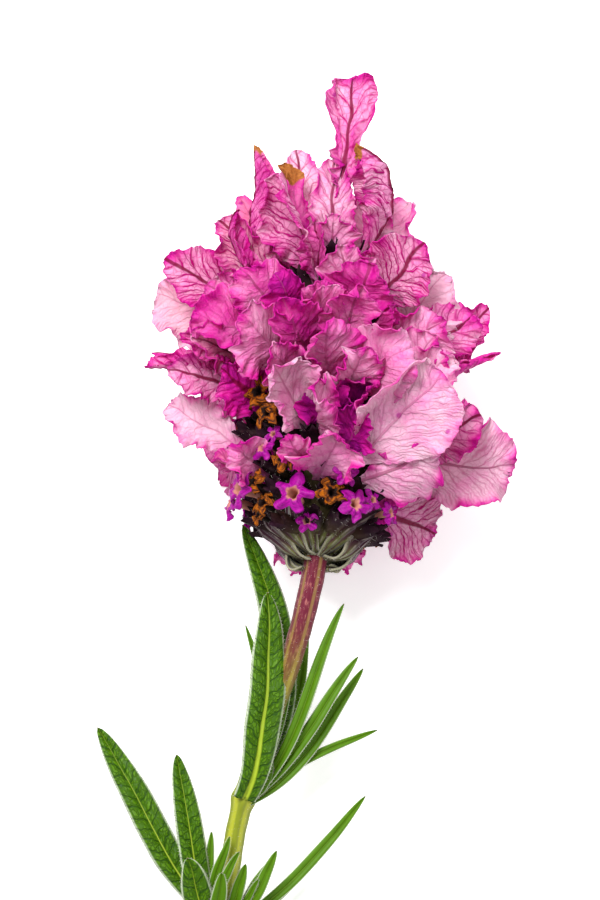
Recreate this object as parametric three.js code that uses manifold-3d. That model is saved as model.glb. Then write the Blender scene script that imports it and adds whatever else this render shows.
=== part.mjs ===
// A cut sprig of Spanish lavender, lying on a table: a frilled flower head on an arched stem, with two
// knots of paired leaves. Millimetres, +Z up. The sprig lies along Y with its head towards +Y, and the
// origin is on the table under the middle of the whole sprig.
import * as THREE from 'three';
import { mergeVertices } from 'three/addons/utils/BufferGeometryUtils.js';
import Module from 'manifold-3d';

const wasm = await Module();
wasm.setup();

// ---- driving dimensions -------------------------------------------------------------------------------
const gap = 0.3; // air kept between neighbouring pieces
const stemReach = 57; // from the head's base back to the cut end, along Y
const stemWidth = 1.9; // across the flats of the squarish stem
const stemCorner = 0.45; // radius of the stem's four rounded edges
const stemSteps = 22; // rings along the stem
const knotWidth = 2.8; // swelling of the stem where the leaves join it
const knotLength = 2.6;
const headHeight = 14.5; // middle of the head's base above the table
const gridTilt = 10; // degrees the head's own grid is tipped back, so that its spike lies level
const headLean = 2.5; // degrees the head leans towards +X
const spikeLength = 33; // the spike of packed calyces
const spikeRadius = 8.2;
const calyxLength = 5.2;
const calyxWidth = 2.7;
const calyxRings = 6;
const calyxesInRing = 8;
const petalThickness = 0.42;
const clawWidth = 1.3; // the narrow foot by which a petal joins the spike
const petalCurl = 18; // degrees a petal's tip turns back from its face
const leafThickness = 0.5;
const leafTipWidth = 0.4;
const leafKeel = 0.22; // how deep a leaf is folded along its midrib, as a share of its half width
const bractThickness = 0.6;
const bractFootWidth = 2.4;
const flowerRadius = 1.75; // mouth of one small violet flower
const flowerTubeRadius = 0.55;
const flowerTubeLength = 3.2;

// ---- finishes -----------------------------------------------------------------------------------------
const finish = (color, roughness) => new THREE.MeshStandardMaterial({ color, roughness, metalness: 0 });
const petalPink = () => finish(0xe3a0d2, 0.6);
const petalMagenta = () => finish(0xb8359f, 0.6);
const leafGreen = () => finish(0x3f8317, 0.65);
const stemGreen = () => finish(0x9a9a55, 0.7);
const calyxPlum = () => finish(0x54402f, 0.85);
const bractGreen = () => finish(0x7d7a5c, 0.85);
const flowerViolet = () => finish(0x6a2a9a, 0.5);

// ---- closed bodies and clearances ---------------------------------------------------------------------
// Every piece is made twice: as it is, and grown by the gap. The grown one is what later pieces are kept
// clear of.
const placed = [];
const sprig = new THREE.Group();

function solidOf(geometry) {
  const bare = new THREE.BufferGeometry();
  bare.setAttribute('position', geometry.getAttribute('position'));
  bare.setIndex(geometry.getIndex());
  const merged = mergeVertices(bare, 1e-4);
  const vertProperties = new Float32Array(merged.getAttribute('position').array);
  const triVerts = new Uint32Array(merged.getIndex().array);
  return new wasm.Manifold(new wasm.Mesh({ numProp: 3, vertProperties, triVerts }));
}

function geometryOf(solid) {
  const mesh = solid.getMesh();
  const geometry = new THREE.BufferGeometry();
  geometry.setAttribute('position', new THREE.BufferAttribute(new Float32Array(mesh.vertProperties), 3));
  geometry.setIndex(new THREE.BufferAttribute(new Uint32Array(mesh.triVerts), 1));
  return geometry;
}

function boxesMeet(a, b) {
  return [0, 1, 2].every((i) => a.min[i] <= b.max[i] && b.min[i] <= a.max[i]);
}

function largestBody(solid) {
  return solid.decompose().reduce((best, body) => (body.volume() > best.volume() ? body : best));
}

function add(name, material, make) {
  let solid = make(0);
  for (const neighbour of placed) {
    if (boxesMeet(solid.boundingBox(), neighbour.boundingBox())) solid = solid.subtract(neighbour);
  }
  solid = largestBody(largestBody(solid).simplify(0.02));
  placed.push(make(gap));
  const geometry = geometryOf(solid).toNonIndexed();
  geometry.computeVertexNormals();
  const mesh = new THREE.Mesh(geometry, material);
  mesh.name = name;
  sprig.add(mesh);
}

// ---- a thin leaf-like sheet ---------------------------------------------------------------------------
// It follows a curve from its foot to its tip, its face turned to one side, and lies flat where it meets
// the table.
function sheet(s, grow) {
  const reach = s.tip.clone().sub(s.foot);
  const length = reach.length();
  const ahead = reach.clone().normalize();
  const face = s.face.clone().addScaledVector(ahead, -s.face.dot(ahead)).normalize();
  const curl = THREE.MathUtils.degToRad(s.curl);
  const arrive = ahead.clone().multiplyScalar(Math.cos(curl)).addScaledVector(face, -Math.sin(curl));
  const swing = ahead.clone().cross(face).multiplyScalar(s.bow ?? 0);
  const curve = new THREE.CubicBezierCurve3(
    s.foot,
    s.foot.clone().addScaledVector(s.leave, length * 0.34).add(swing),
    s.tip.clone().addScaledVector(arrive, -length * 0.34).add(swing),
    s.tip,
  );
  const half = s.thickness / 2;
  const geometry = new THREE.BoxGeometry(1, 1, 1, s.across, s.along, 1);
  const position = geometry.getAttribute('position');
  const point = new THREE.Vector3();
  for (let i = 0; i < position.count; i += 1) {
    point.fromBufferAttribute(position, i);
    const side = 2 * point.x;
    const t = point.y + 0.5;
    const tangent = curve.getTangent(t);
    const normal = face.clone().addScaledVector(tangent, -face.dot(tangent)).normalize();
    const crosswise = tangent.clone().cross(normal);
    const halfWidth = s.outline(t);
    const middle = curve.getPoint(t);
    middle.addScaledVector(crosswise, side * (halfWidth + grow));
    middle.addScaledVector(normal, s.hollow * halfWidth * side * side);
    middle.addScaledVector(tangent, grow * 2 * point.y);
    if (middle.z < half) {
      middle.z = half;
      normal.set(0, 0, Math.sign(normal.z) || 1);
    }
    middle.addScaledVector(normal, Math.sign(point.z) * (half + grow));
    if (grow === 0) middle.z = Math.max(middle.z, 0);
    position.setXYZ(i, middle.x, middle.y, middle.z);
  }
  return solidOf(geometry);
}

// ---- stem ---------------------------------------------------------------------------------------------
// The route runs back from the head: share of the reach, how far it has swung across, share of the head's
// height.
const cutHeight = 0.62 * stemWidth; // middle of the cut end, which rests on the table
const stemRoute = [
  [0, 0, 1],
  [0.16, -1.9, 0.94],
  [0.3, -4.6, 0.8],
  [0.48, -8.2, 0.58],
  [0.62, -9.8, 0.39],
  [0.72, -10.7, 0.27],
  [0.86, -12, 0.11],
  [1, -13.2, 0],
];
const upperKnot = 0.48; // shares of the stem where its leaves sit
const lowerKnot = 0.72;
const stemCurve = new THREE.CatmullRomCurve3(stemRoute.map(([share, across, rise]) => (
  new THREE.Vector3(across, -share * stemReach, THREE.MathUtils.lerp(cutHeight, headHeight, rise))
)));

function stemPoint(share) {
  const wanted = -share * stemReach;
  const points = stemCurve.getPoints(200);
  return points.reduce((best, p) => (Math.abs(p.y - wanted) < Math.abs(best.y - wanted) ? p : best));
}

function stemSection(width, corner) {
  const half = width / 2;
  const shape = new THREE.Shape();
  shape.moveTo(half - corner, -half);
  shape.absarc(half - corner, half - corner, corner, 0, Math.PI / 2);
  shape.absarc(corner - half, half - corner, corner, Math.PI / 2, Math.PI);
  shape.absarc(corner - half, corner - half, corner, Math.PI, 1.5 * Math.PI);
  shape.absarc(half - corner, corner - half, corner, 1.5 * Math.PI, 2 * Math.PI);
  return shape;
}

function knot(share, grow) {
  const ball = new THREE.SphereGeometry(0.5, 8, 6);
  ball.scale(knotWidth + 2 * grow, knotLength + 2 * grow, knotWidth + 2 * grow);
  const middle = stemPoint(share);
  ball.translate(middle.x, middle.y, middle.z);
  return solidOf(ball);
}

function stem(grow) {
  const tube = new THREE.ExtrudeGeometry(stemSection(stemWidth + 2 * grow, stemCorner + grow), {
    steps: stemSteps,
    curveSegments: 2,
    extrudePath: stemCurve,
    bevelEnabled: false,
  });
  return solidOf(tube).add(knot(upperKnot, grow)).add(knot(lowerKnot, grow));
}
add('stem', stemGreen(), stem);

// ---- the spike of calyces -----------------------------------------------------------------------------
const headBase = new THREE.Vector3(0, 0, headHeight);
const tilt = THREE.MathUtils.degToRad(gridTilt);
const lean = THREE.MathUtils.degToRad(headLean);
const gridAcross = new THREE.Vector3(1, 0, 0);
const gridAlong = new THREE.Vector3(0, Math.cos(tilt), Math.sin(tilt));
const gridToward = new THREE.Vector3(0, -Math.sin(tilt), Math.cos(tilt));
const spikeAxis = new THREE.Vector3(Math.sin(lean), Math.cos(lean), 0);
const spikeRight = new THREE.Vector3(Math.cos(lean), -Math.sin(lean), 0);
const spikeUp = new THREE.Vector3(0, 0, 1);

// Half width of the spike at a share of its length, as a share of its greatest.
const spikeShape = new THREE.SplineCurve([
  new THREE.Vector2(0, 0.34),
  new THREE.Vector2(0.08, 0.8),
  new THREE.Vector2(0.28, 1),
  new THREE.Vector2(0.52, 0.95),
  new THREE.Vector2(0.76, 0.72),
  new THREE.Vector2(0.92, 0.42),
  new THREE.Vector2(1, 0.1),
]);
const spikeOutline = spikeShape.getPoints(12);

function spikeRadiusAt(share) {
  const next = Math.max(1, spikeOutline.findIndex((p) => p.x >= Math.min(share, 1)));
  const [a, b] = [spikeOutline[next - 1], spikeOutline[next]];
  return spikeRadius * THREE.MathUtils.mapLinear(share, a.x, b.x, a.y, b.y);
}

function outwards(compass) {
  const angle = THREE.MathUtils.degToRad(compass);
  return spikeRight.clone().multiplyScalar(Math.cos(angle)).addScaledVector(spikeUp, Math.sin(angle));
}

function onAxis(share) {
  return headBase.clone().addScaledVector(spikeAxis, share * spikeLength);
}

function onSpike(share, compass, radiusShare) {
  return onAxis(share).addScaledVector(outwards(compass), radiusShare * spikeRadiusAt(share));
}

function aimed(geometry, from, direction) {
  const turn = new THREE.Quaternion().setFromUnitVectors(new THREE.Vector3(0, 1, 0), direction);
  geometry.applyQuaternion(turn);
  geometry.translate(from.x, from.y, from.z);
  return geometry;
}

function calyx(ring, place, grow) {
  const share = 0.1 + (0.76 * ring) / (calyxRings - 1);
  const compass = ((place + (ring % 2) / 2) * 360) / calyxesInRing;
  const body = new THREE.IcosahedronGeometry(0.5, 0);
  body.scale(calyxWidth + 2 * grow, calyxLength + 2 * grow, calyxWidth + 2 * grow);
  const direction = outwards(compass).addScaledVector(spikeAxis, 1.1).normalize();
  return solidOf(aimed(body, onSpike(share, compass, 0.88), direction));
}

function spike(grow) {
  const stalkEnd = gap; // the spike's underside stands this far off the stem's end
  const profile = spikeOutline.map((p) => new THREE.Vector2(
    0.86 * spikeRadius * p.y + grow,
    stalkEnd + p.x * (spikeLength - stalkEnd) + grow * (2 * p.x - 1),
  ));
  profile.unshift(new THREE.Vector2(0, profile[0].y));
  profile.push(new THREE.Vector2(0, profile.at(-1).y));
  const core = new THREE.LatheGeometry(profile, 12);
  let solid = solidOf(aimed(core, headBase, spikeAxis));
  for (let ring = 0; ring < calyxRings; ring += 1) {
    for (let place = 0; place < calyxesInRing; place += 1) solid = solid.add(calyx(ring, place, grow));
  }
  return solid;
}
add('calyx_spike', calyxPlum(), spike);

// ---- small violet flowers -----------------------------------------------------------------------------
// Each is a short tube with a flared mouth, standing out of its calyx: share of the spike, compass.
const flowers = [
  [0.12, 106],
  [0.1, 66],
  [0.15, 148],
  [0.12, 168],
];

function flower([share, compass], grow) {
  const mouth = flowerRadius + grow;
  const tube = flowerTubeRadius + grow;
  const top = flowerTubeLength + grow;
  const profile = [
    [0, -grow],
    [tube, -grow],
    [tube, 0.65 * flowerTubeLength],
    [mouth, top - 0.3 - grow],
    [mouth, top],
    [0, top - 0.3],
  ].map(([x, y]) => new THREE.Vector2(x, y));
  const trumpet = new THREE.LatheGeometry(profile, 10);
  const foot = onSpike(share, compass, 1).addScaledVector(outwards(compass), 0.6);
  return solidOf(aimed(trumpet, foot, outwards(compass)));
}
flowers.forEach((place, i) => add(`flower_${i + 1}`, flowerViolet(), (grow) => flower(place, grow)));

// ---- green bracts that cup the head's base ------------------------------------------------------------
// compass, reach out from the stem, rise along the spike, width, where it clasps the stem
const baseBracts = [
  [92, 5.2, 4.8, 7.4, -0.5],
  [152, 8.4, 4.0, 4.6, -0.9],
  [28, 8.4, 4.0, 4.8, -0.9],
  [226, 6.6, 0.8, 5.4, -2.3],
  [316, 6.8, 0.8, 5.4, -2.3],
];

function broad(width, foot) {
  return (t) => Math.max(foot / 2, (width / 2) * Math.sin(Math.PI * Math.min(1, 0.12 + 0.8 * t)) ** 0.7);
}

function baseBract([compass, out, rise, width, clasp], grow) {
  const away = outwards(compass);
  const foot = headBase.clone().addScaledVector(spikeAxis, clasp).addScaledVector(away, 1.7);
  return sheet({
    foot,
    tip: headBase.clone().addScaledVector(away, out).addScaledVector(spikeAxis, rise),
    leave: away.clone().addScaledVector(spikeAxis, away.z > 0.2 ? 0.5 : -0.2).normalize(),
    face: spikeAxis,
    outline: broad(width, bractFootWidth),
    thickness: bractThickness,
    hollow: 0.3,
    curl: -30,
    across: 3,
    along: 5,
  }, grow);
}
baseBracts.forEach((row, i) => add(`base_bract_${i + 1}`, bractGreen(), (grow) => baseBract(row, grow)));

// ---- petals -------------------------------------------------------------------------------------------
// name: [share of the spike where it is rooted, compass, where its tip stands from the spike's middle at
// that share (across, along, toward, in the head's grid), width, the way its face looks (across, along,
// toward)]
const petals = {
  under_1: [0.3, 215, [-14, 2, -21], 9, [0, 0, -1]],
  under_2: [0.3, 325, [15, 3, -21], 9, [0, 0, -1]],
  under_3: [0.5, 256, [-5, -9, -22], 9, [0, 0, -1]],
  under_4: [0.66, 222, [-15, 8, -21], 9, [0, 0, -1]],
  under_5: [0.62, 320, [16, 7, -21], 9, [0, 0, -1]],
  under_6: [0.84, 275, [1, 14, -20], 9, [0, 0, -1]],
  crown_1: [0.97, 80, [2.2, 20.5, 3], 6.6, [0, 0, 1]],
  crown_2: [0.95, 140, [-3.2, 14, 0], 5.4, [0.2, 0, 1]],
  crown_3: [0.93, 70, [2.9, 15, 6], 8, [-1, 0, 0.3]],
  crown_4: [0.9, 350, [8, 11, -2], 6, [0, 0, 1]],
  crown_5: [0.8, 165, [-8.4, 18.6, 3], 7, [1, 0, 0.45]],
  crown_6: [0.86, 105, [-5.2, 13.4, 8], 8.4, [-0.35, 0, 1]],
  left_1: [0.84, 165, [-11.8, 9.4, 3], 7, [0.3, 0, 1]],
  left_2: [0.8, 190, [-18, 6.4, 2], 7.8, [0, 0, 1]],
  left_3: [0.72, 205, [-19.8, 5, -4], 9, [0.2, 0, 1]],
  left_4: [0.7, 140, [-14.6, 2.4, 10], 8, [-0.1, 0.3, 1]],
  left_5: [0.54, 165, [-20, 2, 5], 6, [0.1, 1, 0.5]],
  left_6: [0.46, 142, [-11.5, 4.5, 9], 6.4, [0, 0, 1]],
  left_7: [0.3, 170, [-17.4, 6.2, 1.5], 5.6, [0, 0.2, 1]],
  left_8: [0.22, 150, [-9.4, 4.6, 9], 5.8, [0.2, 0, 1]],
  front_1: [0.7, 95, [-0.5, 6, 12.5], 7.6, [0, -0.2, 1]],
  front_2: [0.62, 118, [-9.6, 5, 14], 9.6, [0, 0, 1]],
  front_3: [0.5, 82, [0.3, 8.7, 15], 6.8, [-0.4, 0, 1]],
  front_4: [0.5, 62, [9.1, 6.2, 15], 9, [-0.1, 0.3, 1]],
  front_5: [0.36, 100, [-5.6, 9, 15.5], 9, [0.3, 0, 1]],
  front_6: [0.2, 92, [1.8, 6.2, 12.8], 9, [0, -0.3, 1]],
  front_7: [0.4, 66, [6, 5.6, 10.6], 7.4, [-0.3, 0.2, 1]],
  right_1: [0.82, 35, [10.5, 6.9, 9.5], 8.8, [0, 0, 1]],
  right_2: [0.68, 12, [13.4, 8, 3], 9.4, [0, 0, 1]],
  right_3: [0.56, 342, [19, 8.8, -3.5], 7.6, [0, 0, 1]],
  right_4: [0.48, 20, [19.5, 6, 2.5], 5, [0, 0.3, 1]],
  right_5: [0.24, 66, [13.1, 11.5, 11], 11, [0, 0, 1]],
  right_6: [0.3, 6, [21.6, -0.6, 2], 10.4, [0, 0, 1]],
  right_7: [0.2, 56, [12.5, 4.6, 9.4], 8, [0, 0, 1]],
  right_8: [0.15, 345, [13.5, -3.5, -4.5], 9, [0, 0, 1]],
};

function inGrid([across, along, toward]) {
  const place = gridAcross.clone().multiplyScalar(across).addScaledVector(gridAlong, along);
  return place.addScaledVector(gridToward, toward);
}

// A claw that swells to a rounded blade, widest at two thirds of its length.
function petalOutline(width) {
  const claw = clawWidth / 2;
  return (t) => {
    const swell = THREE.MathUtils.smoothstep(t, 0.1, 0.62);
    const past = Math.max(0, (t - 0.66) / 0.34);
    return claw + (width / 2 - claw) * swell * Math.sqrt(Math.max(0, 1 - past * past));
  };
}

function petal([share, compass, reach, width, faces], grow) {
  const foot = onSpike(share, compass, 0.95);
  const tip = onAxis(share).add(inGrid(reach));
  const ahead = tip.clone().sub(foot).normalize();
  return sheet({
    foot,
    tip,
    leave: outwards(compass).add(ahead).normalize(),
    face: inGrid(faces),
    outline: petalOutline(width),
    thickness: petalThickness,
    hollow: 0.16,
    curl: petalCurl,
    across: 3,
    along: 6,
  }, grow);
}
Object.entries(petals).forEach(([name, row], i) => {
  add(`petal_${name}`, i % 3 === 2 ? petalMagenta() : petalPink(), (grow) => petal(row, grow));
});

// ---- leaves -------------------------------------------------------------------------------------------
// name: [knot, where its tip stands from the knot (x, y, z), width, the way it sets out, the way its face
// looks, how far it bows sideways, width of its foot]
const leaves = {
  upper_1: [upperKnot, [2.7, 22.6, 5], 4.1, [0.25, 0.9, 0.7], [0.2, -0.2, 1], 1.1, 2.4],
  upper_2: [upperKnot, [-0.2, 30.6, 2], 3.6, [0.2, 1, 0], [0.2, 0, 1], 4.4, 1.2],
  upper_3: [upperKnot, [7.2, 18.6, -0.5], 1.5, [0.9, 1, -0.3], [0, 0, 1], 1, 0.7],
  upper_4: [upperKnot, [11.2, 21.6, 3], 1.5, [1, 0.9, 0.2], [-0.3, 0, 1], 0, 0.8],
  upper_5: [upperKnot, [12.8, 15.8, 1.5], 1.5, [1, 0.8, 0], [0, 0, 1], 0, 0.8],
  upper_6: [upperKnot, [13.4, 14.8, -1.5], 1.5, [1, 0.6, -0.2], [0, 0, 1], 0.6, 0.8],
  upper_7: [upperKnot, [15, 8, -3], 1, [1, 0.7, -0.2], [0, 0, 1], -0.9, 0.6],
  lower_1: [lowerKnot, [-14.2, 22.2, -1], 3.5, [-0.7, 0.8, 0], [0.2, 0, 1], 0, 1],
  lower_2: [lowerKnot, [-5.0, 18.8, 3.5], 3.1, [-0.5, 1, 0.4], [0.2, 0, 1], -0.4, 1],
  lower_3: [lowerKnot, [-3.6, 7.2, 6], 3.4, [-0.6, 0.2, 0.8], [0, -0.4, 1], 0, 1],
  lower_4: [lowerKnot, [1, 9.6, 5], 1.2, [-0.3, 0.6, 0.8], [0, 0, 1], -0.8, 0.7],
  lower_5: [lowerKnot, [6.2, 8.1, 3.5], 1.4, [0.8, 0.6, 0.5], [0, 0, 1], 0.5, 0.7],
  lower_6: [lowerKnot, [16.3, 14.6, -3.6], 1.4, [1, 0.6, -0.2], [0, 0, 1], 0.7, 0.8],
  lower_7: [lowerKnot, [8, 4.5, -3.5], 1.2, [1, 0.3, -0.3], [0, 0, 1], 0, 0.7],
};

// A narrow foot, even sides that are widest past the middle, and a blunt tip.
function lance(width, footWidth) {
  return (t) => {
    const swell = THREE.MathUtils.smoothstep(t, -0.08, 0.42);
    const past = Math.max(0, (t - 0.5) / 0.5);
    const side = THREE.MathUtils.lerp(footWidth, width, swell) / 2;
    return Math.max(leafTipWidth / 2, side * (1 - past ** 2.1) ** 0.6);
  };
}

function leaf([share, reach, width, setsOut, faces, bow, footWidth], grow) {
  const middle = stemPoint(share);
  const leave = new THREE.Vector3(...setsOut).normalize();
  return sheet({
    foot: middle.clone().addScaledVector(leave, 0.7).add(new THREE.Vector3(0, -0.6, 0.5 * footWidth)),
    tip: middle.clone().add(new THREE.Vector3(...reach)),
    leave,
    face: new THREE.Vector3(...faces),
    outline: lance(width, footWidth),
    bow,
    thickness: leafThickness,
    hollow: leafKeel,
    curl: 8,
    across: 2,
    along: 8,
  }, grow);
}
Object.entries(leaves).forEach(([name, row]) => add(`leaf_${name}`, leafGreen(), (grow) => leaf(row, grow)));

// ---- the origin: on the table, under the middle of the sprig ------------------------------------------
const box = new THREE.Box3().setFromObject(sprig);
const centre = box.getCenter(new THREE.Vector3());
sprig.position.set(-centre.x, -centre.y, -box.min.z);

export default sprig;
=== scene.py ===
import math
import random

import bmesh
import bpy
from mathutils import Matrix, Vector, noise


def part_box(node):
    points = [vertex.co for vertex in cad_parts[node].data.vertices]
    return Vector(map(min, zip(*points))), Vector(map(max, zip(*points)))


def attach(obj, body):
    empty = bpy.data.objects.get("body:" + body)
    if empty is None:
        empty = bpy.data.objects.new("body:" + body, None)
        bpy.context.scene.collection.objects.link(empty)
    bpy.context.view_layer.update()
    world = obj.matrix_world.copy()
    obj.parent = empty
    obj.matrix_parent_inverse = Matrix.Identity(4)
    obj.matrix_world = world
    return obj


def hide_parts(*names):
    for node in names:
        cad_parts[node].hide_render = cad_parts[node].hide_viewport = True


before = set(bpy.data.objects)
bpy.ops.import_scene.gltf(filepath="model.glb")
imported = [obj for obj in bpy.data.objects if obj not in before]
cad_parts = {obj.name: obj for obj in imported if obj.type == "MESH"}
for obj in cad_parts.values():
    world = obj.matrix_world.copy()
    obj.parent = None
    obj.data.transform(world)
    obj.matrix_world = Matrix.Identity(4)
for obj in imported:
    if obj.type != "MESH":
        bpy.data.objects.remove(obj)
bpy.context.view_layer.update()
noise.seed_set(5)  # without a seed, the vector noise differs on each run

# ---- Camera and studio -----------------------------------------------------------------------------------
# The sprig lies on a white table. The camera looks down on it from a little towards the stem's end, so the
# head is seen from slightly below, and the light is a broad soft one from above with a bright surround.
MM = 0.001
stem_width = 1.9
stem_low, stem_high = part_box("stem")
spike_low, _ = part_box("calyx_spike")
foot_of_head = Vector((
    stem_high.x / MM - 0.5 * stem_width,
    spike_low.y / MM - 0.2,
    stem_high.z / MM - 0.5 * stem_width,
))
tip_back = math.radians(10)
ACROSS = Vector((1, 0, 0))
ALONG = Vector((0, math.cos(tip_back), math.sin(tip_back)))
TOWARD = Vector((0, -math.sin(tip_back), math.cos(tip_back)))

view_height = 100
lens = 120
lens_plate = 36
aim = foot_of_head + ACROSS * -1.9 + ALONG * 10.9
camera_data = bpy.data.cameras.new("camera")
camera_data.lens = lens
camera_data.sensor_width = lens_plate
camera_data.clip_start = 0.01
camera = bpy.data.objects.new("camera", camera_data)
camera.location = (aim + TOWARD * view_height * lens / lens_plate) * MM
camera.rotation_euler = (tip_back, 0, 0)
bpy.context.collection.objects.link(camera)
bpy.context.scene.camera = camera
bpy.context.scene.view_settings.view_transform = "Standard"


def studio_panel(name, place, size, watts):
    """A square soft light at place (mm), facing the head."""
    data = bpy.data.lights.new(name, "AREA")
    data.size = size * MM
    data.energy = watts
    panel = bpy.data.objects.new(name, data)
    panel.location = (foot_of_head + Vector(place)) * MM
    panel.rotation_euler = (-Vector(place)).to_track_quat("-Z", "Y").to_euler()
    bpy.context.collection.objects.link(panel)


studio_panel("key_light", (-130, 170, 420), 220, 3.2)
studio_panel("fill_light", (260, -60, 380), 360, 0.6)
studio_panel("rim_light", (60, 420, 160), 260, 0.6)

world = bpy.data.worlds.new("studio")
world.use_nodes = True
world.node_tree.nodes["Background"].inputs["Color"].default_value = (1, 1, 1, 1)
world.node_tree.nodes["Background"].inputs["Strength"].default_value = 0.45
bpy.context.scene.world = world

table_half_size = 3
floor_mesh = bmesh.new()
bmesh.ops.create_grid(floor_mesh, x_segments=1, y_segments=1, size=table_half_size)
floor_data = bpy.data.meshes.new("table_top")
floor_mesh.to_mesh(floor_data)
floor_mesh.free()
table_top = bpy.data.objects.new("table_top", floor_data)
bpy.context.collection.objects.link(table_top)
table_paint = bpy.data.materials.new("table_paint")
table_paint.use_nodes = True
table_paint.node_tree.nodes["Principled BSDF"].inputs["Base Color"].default_value = (0.93, 0.93, 0.93, 1)
table_paint.node_tree.nodes["Principled BSDF"].inputs["Roughness"].default_value = 0.9
table_paint.node_tree.nodes["Principled BSDF"].inputs["Emission Color"].default_value = (1, 1, 1, 1)
table_paint.node_tree.nodes["Principled BSDF"].inputs["Emission Strength"].default_value = 0.4
floor_data.materials.append(table_paint)

# ---- Stem ------------------------------------------------------------------------------------------------
# The stalk of the sprig: squarish, with a low ridge along each side and each soft corner, swollen where the
# leaves join it, flushed purple under the head and yellow-green lower down with a lighter band along each
# flat face that is partly its own paler colour and partly painted highlight, cut square at its lower end.


def put(tree, kind, inputs=None, **settings):
    """Adds one shader node and fills its sockets with numbers, colours or other sockets."""
    made = tree.nodes.new("ShaderNode" + kind)
    for key, value in settings.items():
        setattr(made, key, value)
    for key, value in (inputs or {}).items():
        if isinstance(value, bpy.types.NodeSocket):
            tree.links.new(value, made.inputs[key])
        else:
            made.inputs[key].default_value = value
    return made


def maths(tree, operation, *values, clamp=False):
    """One sum on shader values, such as COSINE or MAXIMUM."""
    return put(tree, "Math", dict(enumerate(values)), operation=operation, use_clamp=clamp).outputs[0]


def plus(tree, first, second):
    return maths(tree, "ADD", first, second)


def minus(tree, first, second):
    return maths(tree, "SUBTRACT", first, second)


def times(tree, first, second):
    return maths(tree, "MULTIPLY", first, second)


def across_tissue(tree):
    """The place on a piece's own flat pattern."""
    return put(tree, "UVMap", uv_map="tissue").outputs[0]


def written_on(tree, *names):
    """Values that a mesh carries at its corners."""
    return [put(tree, "Attribute", attribute_name=name).outputs["Fac"] for name in names]


def ease(tree, value, low, high):
    """0 below low, 1 above high, smooth between."""
    limits = {"Value": value, "From Min": low, "From Max": high}
    return put(tree, "MapRange", limits, interpolation_type="SMOOTHSTEP").outputs[0]


def mixed(tree, share, first, second, blend="MIX"):
    return put(tree, "Mix", {0: share, 6: first, 7: second}, data_type="RGBA", blend_type=blend).outputs[2]


def speckle(tree, vector, scale, detail=3.0, roughness=0.6):
    values = {"Vector": vector, "Scale": scale, "Detail": detail, "Roughness": roughness}
    return put(tree, "TexNoise", values).outputs["Fac"]


def new_skin(name, roughness, sheen=0.0):
    """A material with its Principled node, ready for the colours to be wired in."""
    skin = bpy.data.materials.new(name)
    skin.use_nodes = True
    shader = skin.node_tree.nodes["Principled BSDF"]
    shader.inputs["Roughness"].default_value = roughness
    shader.inputs["Specular IOR Level"].default_value = 0.18
    if sheen:
        shader.inputs["Sheen Weight"].default_value = sheen
    return skin, skin.node_tree, shader


def bumped(tree, shader, height, depth):
    """Raises the surface by height times depth (mm)."""
    values = {"Height": height, "Distance": depth * MM, "Strength": 1.0}
    tree.links.new(put(tree, "Bump", values).outputs[0], shader.inputs["Normal"])


def let_light_through(tree, shader, colour, share):
    """Thin tissue: part of the light that falls on the far side shows through."""
    through = put(tree, "BsdfTranslucent", {"Color": colour}).outputs[0]
    both = put(tree, "MixShader", {0: share, 1: shader.outputs[0], 2: through}).outputs[0]
    tree.links.new(both, tree.nodes["Material Output"].inputs["Surface"])


def finish_piece(name, mesh, skin, slot, *nodes):
    """Turns a bmesh in mm into a smooth piece that rides on the sprig and stands for the nodes."""
    bmesh.ops.scale(mesh, vec=(MM, MM, MM), verts=mesh.verts)
    for face in mesh.faces:
        face.smooth = True
    data = bpy.data.meshes.new(name)
    mesh.to_mesh(data)
    mesh.free()
    data.materials.append(skin)
    piece = bpy.data.objects.new(name, data)
    bpy.context.collection.objects.link(piece)
    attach(piece, "root")
    if nodes:
        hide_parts(*nodes)
    return piece


def cloth_of(columns, rows):
    """A flat grid, -1 to 1 both ways, with its UV map."""
    mesh = bmesh.new()
    mesh.loops.layers.uv.new("tissue")
    bmesh.ops.create_grid(mesh, x_segments=columns, y_segments=rows, size=1, calc_uvs=True)
    return mesh


def thicken(piece, thickness, offset=0):
    """Gives a thin sheet its thickness (mm), half of it on either side unless offset says otherwise."""
    wall = piece.modifiers.new("blade", "SOLIDIFY")
    wall.thickness = thickness * MM
    wall.offset = offset
    return wall


def close_tube(mesh):
    """Joins the long edges of a rolled-up grid, closes its ends and turns its faces outwards."""
    bmesh.ops.remove_doubles(mesh, verts=mesh.verts, dist=1e-4)
    bmesh.ops.holes_fill(mesh, edges=[edge for edge in mesh.edges if edge.is_boundary], sides=0)
    bmesh.ops.recalc_face_normals(mesh, faces=mesh.faces)


stem_reach = foot_of_head.y - stem_low.y / MM
cut_height = 0.62 * stem_width
# share of the way from the head, how far it has swung across (mm), share of the head's height
stem_route = [
    (0, 0, 1),
    (0.16, -1.9, 0.94),
    (0.3, -4.6, 0.8),
    (0.48, -8.2, 0.58),
    (0.62, -9.8, 0.39),
    (0.72, -10.7, 0.27),
    (0.86, -12, 0.11),
    (1, -13.2, 0),
]
upper_knot = 0.48
lower_knot = 0.72
knot_reach = 0.014
knot_swell = 0.26
stem_ridges = 8


def between(share, low, high):
    """0 below low, 1 above high, smooth between."""
    t = min(1, max(0, (share - low) / (high - low)))
    return t * t * (3 - 2 * t)


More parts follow.
